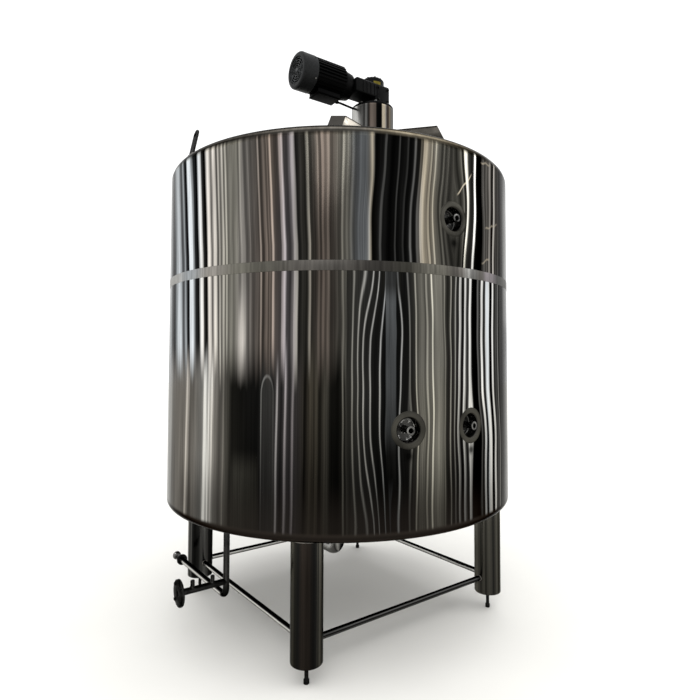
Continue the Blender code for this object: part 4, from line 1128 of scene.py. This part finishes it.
def makeMotor():
    g = gear
    up, end, back = np.array([0, 0, g["height"]]), g["adapterEnd"], g["back"] + gap
    adapter = turned([(0, end), (g["adapterRadius"], end), (g["adapterRadius"], end - 0.010), (g["adapterNeck"], back),
                      (0, back)], [0, 0.002, 0.003, 0.003, 0], 96, **motorLine)
    makeGearPiece("motor_adapter_turned", [adapter], motorPaint, "motor_adapter")
    a = np.radians(np.arange(4) * 90 + 45)
    circle = g["adapterBolts"]
    heads = np.column_stack([np.full(4, end - 0.0105), circle * np.cos(a), circle * np.sin(a)]) + up
    makeGearPiece("adapter_bolts", gearBolts(heads, (-1, 0, 0), 0.012, 0.007), boltSteel)
    # the finned body: r = root + (tip - root) * clipped wave of 32 turns, with ends eased inwards
    v = np.linspace(0, math.tau, g["fins"] * 16 + 1)
    wave = np.clip(0.5 + 1.6 * np.cos(v * g["fins"]), 0, 1)
    stops = np.array([(0.0, 0.0), (0.955, 0.0), (1.0, 0.006), (1.0, 0.5), (1.0, 0.994), (0.955, 1.0), (0.0, 1.0)])
    r = stops[:, :1] * (g["finRoot"] + (g["finTip"] - g["finRoot"]) * wave)
    start, end = end + gap, g["bodyEnd"]
    x = np.broadcast_to(start + stops[:, 1:] * (end - start), r.shape)
    makeGearPiece("motor_body_finned", [np.stack([x, -r * np.sin(v), r * np.cos(v)], axis=2) + up], motorPaint,
                  "motor_body")
    # the cowl: a rim turned over at the end, a mouth with rings and spokes, and the fan behind them
    c, e, start = g["cowlRadius"], g["cowlEnd"], g["bodyEnd"] + gap
    mouth, floorOf = c - 0.030, g["bodyEnd"] + 0.012
    shell = turned([(0, start), (c, start), (c, e), (mouth, e), (mouth, e - 0.006), (c - 0.006, e - 0.020),
                    (c - 0.006, floorOf), (0, floorOf)], [0, 0.002, 0.020, 0.002, 0.002, 0.006, 0, 0], 128, 6,
                   **motorLine)
    makeGearPiece("fan_cowl_shell", [shell], cowlPaint, "fan_cowl")
    t = np.linspace(0, math.tau, 97)[:-1]
    ring = np.column_stack([0 * t, np.cos(t), np.sin(t)])
    bars = [sweep(radius * ring + [e - 0.006, 0, g["height"]], 0.0022, (1, 0, 0), 8, closed=True)
            for radius in (*g["grilleRings"], mouth + 0.002)]
    for t in np.arange(8) * math.tau / 8 + 0.2:
        s = np.linspace(0.016, mouth + 0.004, 6)
        bars.append(sweep(np.column_stack([0 * s, s * math.cos(t), s * math.sin(t)]) + [e - 0.008, 0, g["height"]],
                          0.0026, (1, 0, 0), 8))
    bars.append(turned([(0, e - 0.003), (0.013, e - 0.003), (0.013, e - 0.010), (0, e - 0.010)], [0, 0.002, 0.002, 0],
                       48, 3, **motorLine))
    makeGearPiece("fan_grille", bars, grillePaint)
    # flat blades set round a disc
    disc = revolve([(0, e - 0.030), (0.074, e - 0.030), (0.074, e - 0.034), (0, e - 0.034)], 64)
    blades = [standAt(disc, **motorLine)]
    blade = roundedBox((e - 0.031, 0.024, -0.0015), (e - 0.014, 0.074, 0.0015), 0.001, 2)
    for t in np.arange(g["blades"]) * math.tau / g["blades"]:
        blades.append(standAt(blade, up, (0, -math.sin(t), math.cos(t))))
    makeGearPiece("fan_blades", blades, motorPaint)
    screws = []
    for t in np.radians([35, 100, 165, 215, 270, 325]):
        out = np.array([0, math.cos(t), math.sin(t)])
        screws += boltsAt([out * c + up + [g["bodyEnd"] + 0.014, 0, 0]], 0.008, 0.003, out)
    makeGearPiece("cowl_screws", screws, boltSteel)
    # terminal box, its lid line and screws, and the cable's conduit to the pedestal
    low = np.array([g["boxStart"], -g["boxWidth"] / 2, g["boxBottom"]])
    high = np.array([g["boxEnd"], g["boxWidth"] / 2, g["height"] - g["boxRoof"]])
    lid = roundedBox(low + [-0.002, -0.002, 0.004], (high[0] + 0.002, high[1] + 0.002, low[2] + 0.010), 0.0025, 3)
    gland = turned([(0, 0), (0.011, 0), (0.011, 0.008), (0.0085, 0.016), (0, 0.016)], [0, 0, 0.001, 0.001, 0], 24, 3,
                   origin=(g["boxStart"], 0, g["conduitLow"]), axis=(-1, 0, 0), side=(0, 1, 0))
    makeGearPiece("terminal_box_cast", [roundedBox(low, high, 0.008), lid, gland], motorPaint,
                  "terminal_box")
    corners = [(x, y, low[2] + 0.0042) for x in (low[0] + 0.012, high[0] - 0.012)
               for y in (low[1] + 0.012, high[1] - 0.012)]
    makeGearPiece("terminal_box_screws", gearBolts(corners, (0, 0, -1), 0.008, 0.003), boltSteel)
    route, _ = denser(roundedLine([
        (g["boxStart"] - gap, 0, g["conduitLow"]), (g["boxStart"] - 0.035, 0, g["conduitLow"]),
        (mount["radius"] + 0.035, 0, g["conduitHigh"]), (mount["radius"] + gap, 0, g["conduitHigh"])], 0.030), 0.0012)
    ribbed = g["conduitRadius"] - 0.0004 + 0.0004 * np.cos(np.arange(len(route)) * math.tau / 4)
    makeGearPiece("motor_conduit_ribbed", [sweep(route, ribbed, (0, 1, 0), 20)], motorPaint,
                  "motor_conduit")


makeGearbox()
makeMotor()
print("gearmotor made")

roofParts = {
    "manwayAngle": 142.0, "manwayDistance": 0.560, "manwayRadius": 0.225, "neckTop": 2.914, "lidThick": 0.030,
    "knobs": (20, 92, 164, 308), "hingeAngle": 236.0, "grip": 0.056,
    "lugWidth": 0.060, "lugTop": 2.812, "lugLean": 12.0, "lugThick": 0.010, "lugBase": 1.012, "lugHole": 0.014,
}


def makeManway():
    p = roofParts
    centre, r, t = p["manwayDistance"] * directions(p["manwayAngle"])[0], p["manwayRadius"], p["lidThick"]
    makeConePipe(("manway_neck_rolled", "manway_neck", "manway_weld"), centre, r, p["neckTop"], 8, 0.004, satinSteel)
    rim = centre + [0, 0, p["neckTop"]]
    lid = turned([(0, t + 0.012), (r - 0.05, t + 0.012), (r + 0.006, t - 0.012), (r + 0.010, t - 0.020),
                  (r + 0.010, gap), (0, gap)], [0, 0.05, 0.006, 0.004, 0.003, 0], 128, 6, origin=rim)
    makePiece("manway_lid_pressed", [lid], satinSteel, "manway_lid")
    # swing bolts with round knobs in their lugs, and the lid's handle and hinge
    parts = []
    ear = roundedBox((-0.012, -0.014, 0), (0.014, 0.014, 0.016), 0.003, 3)
    for degrees in p["knobs"]:
        out, side = directions(degrees)
        place = rim + out * (r + 0.020)
        parts.append(standAt(ear, place - [0, 0, 0.030], side=out))
        parts.append(turned([(0, 0.034), (0.0055, 0.034), (0.0055, -0.020), (0, -0.020)], [0, 0.001, 0.001, 0], 20, 2,
                            origin=place - [0, 0, 0.020]))
        parts.append(turned([(0, 0.030), (0.016, 0.030), (0.018, 0.004), (0.010, 0), (0, 0)],
                            [0, 0.006, 0.006, 0.002, 0], 28, origin=place - [0, 0, 0.004]))
    out, side = directions(p["hingeAngle"])
    ear = roundedBox((-0.030, -0.005, -0.060), (0.030, 0.005, 0.008), 0.003, 3)
    parts += [standAt(ear, rim + out * (r + 0.018) + side * offset, side=out) for offset in (-0.045, 0.045)]
    pin = revolve([(0, 0.062), (0.007, 0.062), (0.007, -0.062), (0, -0.062)], 24)
    parts.append(standAt(pin, rim + out * (r + 0.034) - [0, 0, 0.006], side, (0, 0, 1)))
    high = p["grip"]
    grip = roundedLine([(0.0, -0.055, 0.030), (0.0, -0.055, high), (0.0, 0.055, high), (0.0, 0.055, 0.030)],
                       [0, 0.020, 0.020, 0], 6)
    parts.append(standAt(sweep(denser(grip, 0.01)[0], 0.006, (1, 0, 0), 16), rim, side=out))
    makePiece("manway_fittings", parts, boltSteel)


# A closed outline moved inwards by a distance along its own normals
def inset(outline, distance):
    ahead = unit(np.roll(outline, -1, axis=0) - np.roll(outline, 1, axis=0))
    return outline - distance * np.stack([ahead[:, 1], -ahead[:, 0]], axis=1)


# An ear: rays from the hole's centre reach a half circle above it and a straight-sided foot below it. The outline
# and the hole are carried through the thickness, with eased edges.
def makeLug(name, degrees, steel):
    p = roofParts
    lean, half, ease, thick = math.radians(p["lugLean"]), p["lugWidth"] / 2, 0.0012, p["lugThick"] / 2
    sunk, foot = 0.05, 0.040
    v = np.linspace(0, math.tau, 97)[:-1] + 1e-4
    ray = np.stack([np.cos(v), np.sin(v)], axis=1)
    centre = np.array([0.0, (p["lugTop"] - tank["top"]) / math.cos(lean) + sunk - half])
    down = (centre[1] - foot) / np.maximum(-ray[:, 1], 1e-6)
    aside = half / np.maximum(np.abs(ray[:, 0]), 1e-6)
    distance = np.where(ray[:, 1] >= 0, half, np.minimum(down, aside))
    outer, hole = centre + ray * distance[:, None], centre + ray * p["lugHole"]
    small, wide = inset(outer, ease), inset(hole, -ease)
    rows = [(small, -thick), (outer, ease - thick), (outer, thick - ease), (small, thick), (wide, thick),
            (hole, thick - ease), (hole, ease - thick), (wide, -thick), (small, -thick)]
    flat = np.stack([np.column_stack([line, np.full(len(line), level)]) for line, level in rows])
    flat = np.concatenate([flat, flat[:, :1]], axis=1)
    out, side = directions(degrees)
    up = np.array([0, 0, math.cos(lean)]) - out * math.sin(lean)
    origin = out * (p["lugBase"] + sunk * math.sin(lean)) + [0, 0, tank["top"] - sunk * math.cos(lean)]
    ear = origin + flat @ np.array([side, up, np.cross(side, up)])
    makePiece("lifting_lug_" + name + "_ear", [ear], steel, "lifting_lug_" + name)
    weld = roundedBox((-half - 0.004, -0.010, -0.004), (half + 0.004, 0.010, 0.004), 0.0035, 3)
    makePiece("lug_weld_" + name, [standAt(weld, origin + up * sunk, up, side)], weldSteel)


makeManway()
makeLug("left", 180, darkPipeSteel)
makeLug("right", 0, satinSteel)
print("roof parts made")

studio = {
    "floorHalf": 30.0, "floorShade": .985, "sunPower": 1.1, "sunSpread": 70.0, "sunLean": (14.0, -10.0),
    "lamps": [((-4.5, -5.0, 5.5), 3.0, 60.0), ((4.0, -4.0, 4.5), 3.0, 40.0)], "aim": (0.0, 0.0, 1.7),
}
view = {
    "place": (-2.10028, -2.92337, 1.55028), "pitch": 2.28, "turn": -37.4, "roll": 0.0025,
    "focal": 547.35, "centre": (355.88, 335.41), "frame": 700.0, "sensor": 36.0,
}


def buildFloorPaint():
    material, place = newMaterial("pale floor", 0.8, metallic=0.0)
    pale = studio["floorShade"]
    mottle = mixColour(rangeOf(noiseOf(place, 1.5, 4.0), 0.3, 0.7), shade(pale - 0.015), shade(pale))
    feed(material.node_tree.nodes["Principled BSDF"].inputs, {"Base Color": mottle})
    return material


u = np.linspace(-studio["floorHalf"], studio["floorHalf"], 9)
ground = np.stack([*np.meshgrid(u, u, indexing="ij"), np.zeros((9, 9))], axis=2)
floorMesh = bpy.data.meshes.new("pale_floor")
floorMesh.from_pydata(ground.reshape(-1, 3).tolist(), [], gridFaces(9, 9)[:, ::-1].tolist())
floorMesh.materials.append(buildFloorPaint())
link(bpy.data.objects.new("pale_floor", floorMesh))

sky = bpy.data.worlds.new("studio")
bpy.context.scene.world = sky
sky.use_nodes = True
feed(sky.node_tree.nodes["Background"].inputs, {0: (1.0, 1.0, 1.0, 1.0), 1: skyLight})
for index, (place, size, power) in enumerate(studio["lamps"]):
    lamp = bpy.data.lights.new("soft_lamp_" + str(index), "AREA")
    lamp.shape, lamp.size, lamp.energy = "DISK", size, power
    back = unit(np.array(place) - np.array(studio["aim"]))
    right = unit(np.cross([0, 0, 1.0], back))
    up = np.cross(back, right)
    rows = [(right[k], up[k], back[k], place[k]) for k in range(3)]
    link(bpy.data.objects.new(lamp.name, lamp)).matrix_world = Matrix(rows + [(0, 0, 0, 1)])

overhead = bpy.data.lights.new("overhead_light", "SUN")
overhead.energy, overhead.angle = studio["sunPower"], math.radians(studio["sunSpread"])
leaning = [math.radians(angle) for angle in (*studio["sunLean"], 0.0)]
link(bpy.data.objects.new("overhead_light", overhead)).rotation_euler = leaning

lens = bpy.data.cameras.new("photo_view")
lens.sensor_width = view["sensor"]
lens.lens = view["focal"] / view["frame"] * view["sensor"]
lens.shift_x = (view["frame"] / 2 - view["centre"][0]) / view["frame"]
lens.shift_y = (view["centre"][1] - view["frame"] / 2) / view["frame"]
camera = link(bpy.data.objects.new("photo_view", lens))
camera.matrix_world = (
    Matrix.Translation(view["place"]) @ Matrix.Rotation(math.radians(view["turn"]), 4, "Z")
    @ Matrix.Rotation(math.radians(90 + view["pitch"]), 4, "X") @ Matrix.Rotation(view["roll"], 4, "Z"))
bpy.context.scene.camera = camera
bpy.context.scene.view_settings.view_transform = "Standard"
print("studio ready")
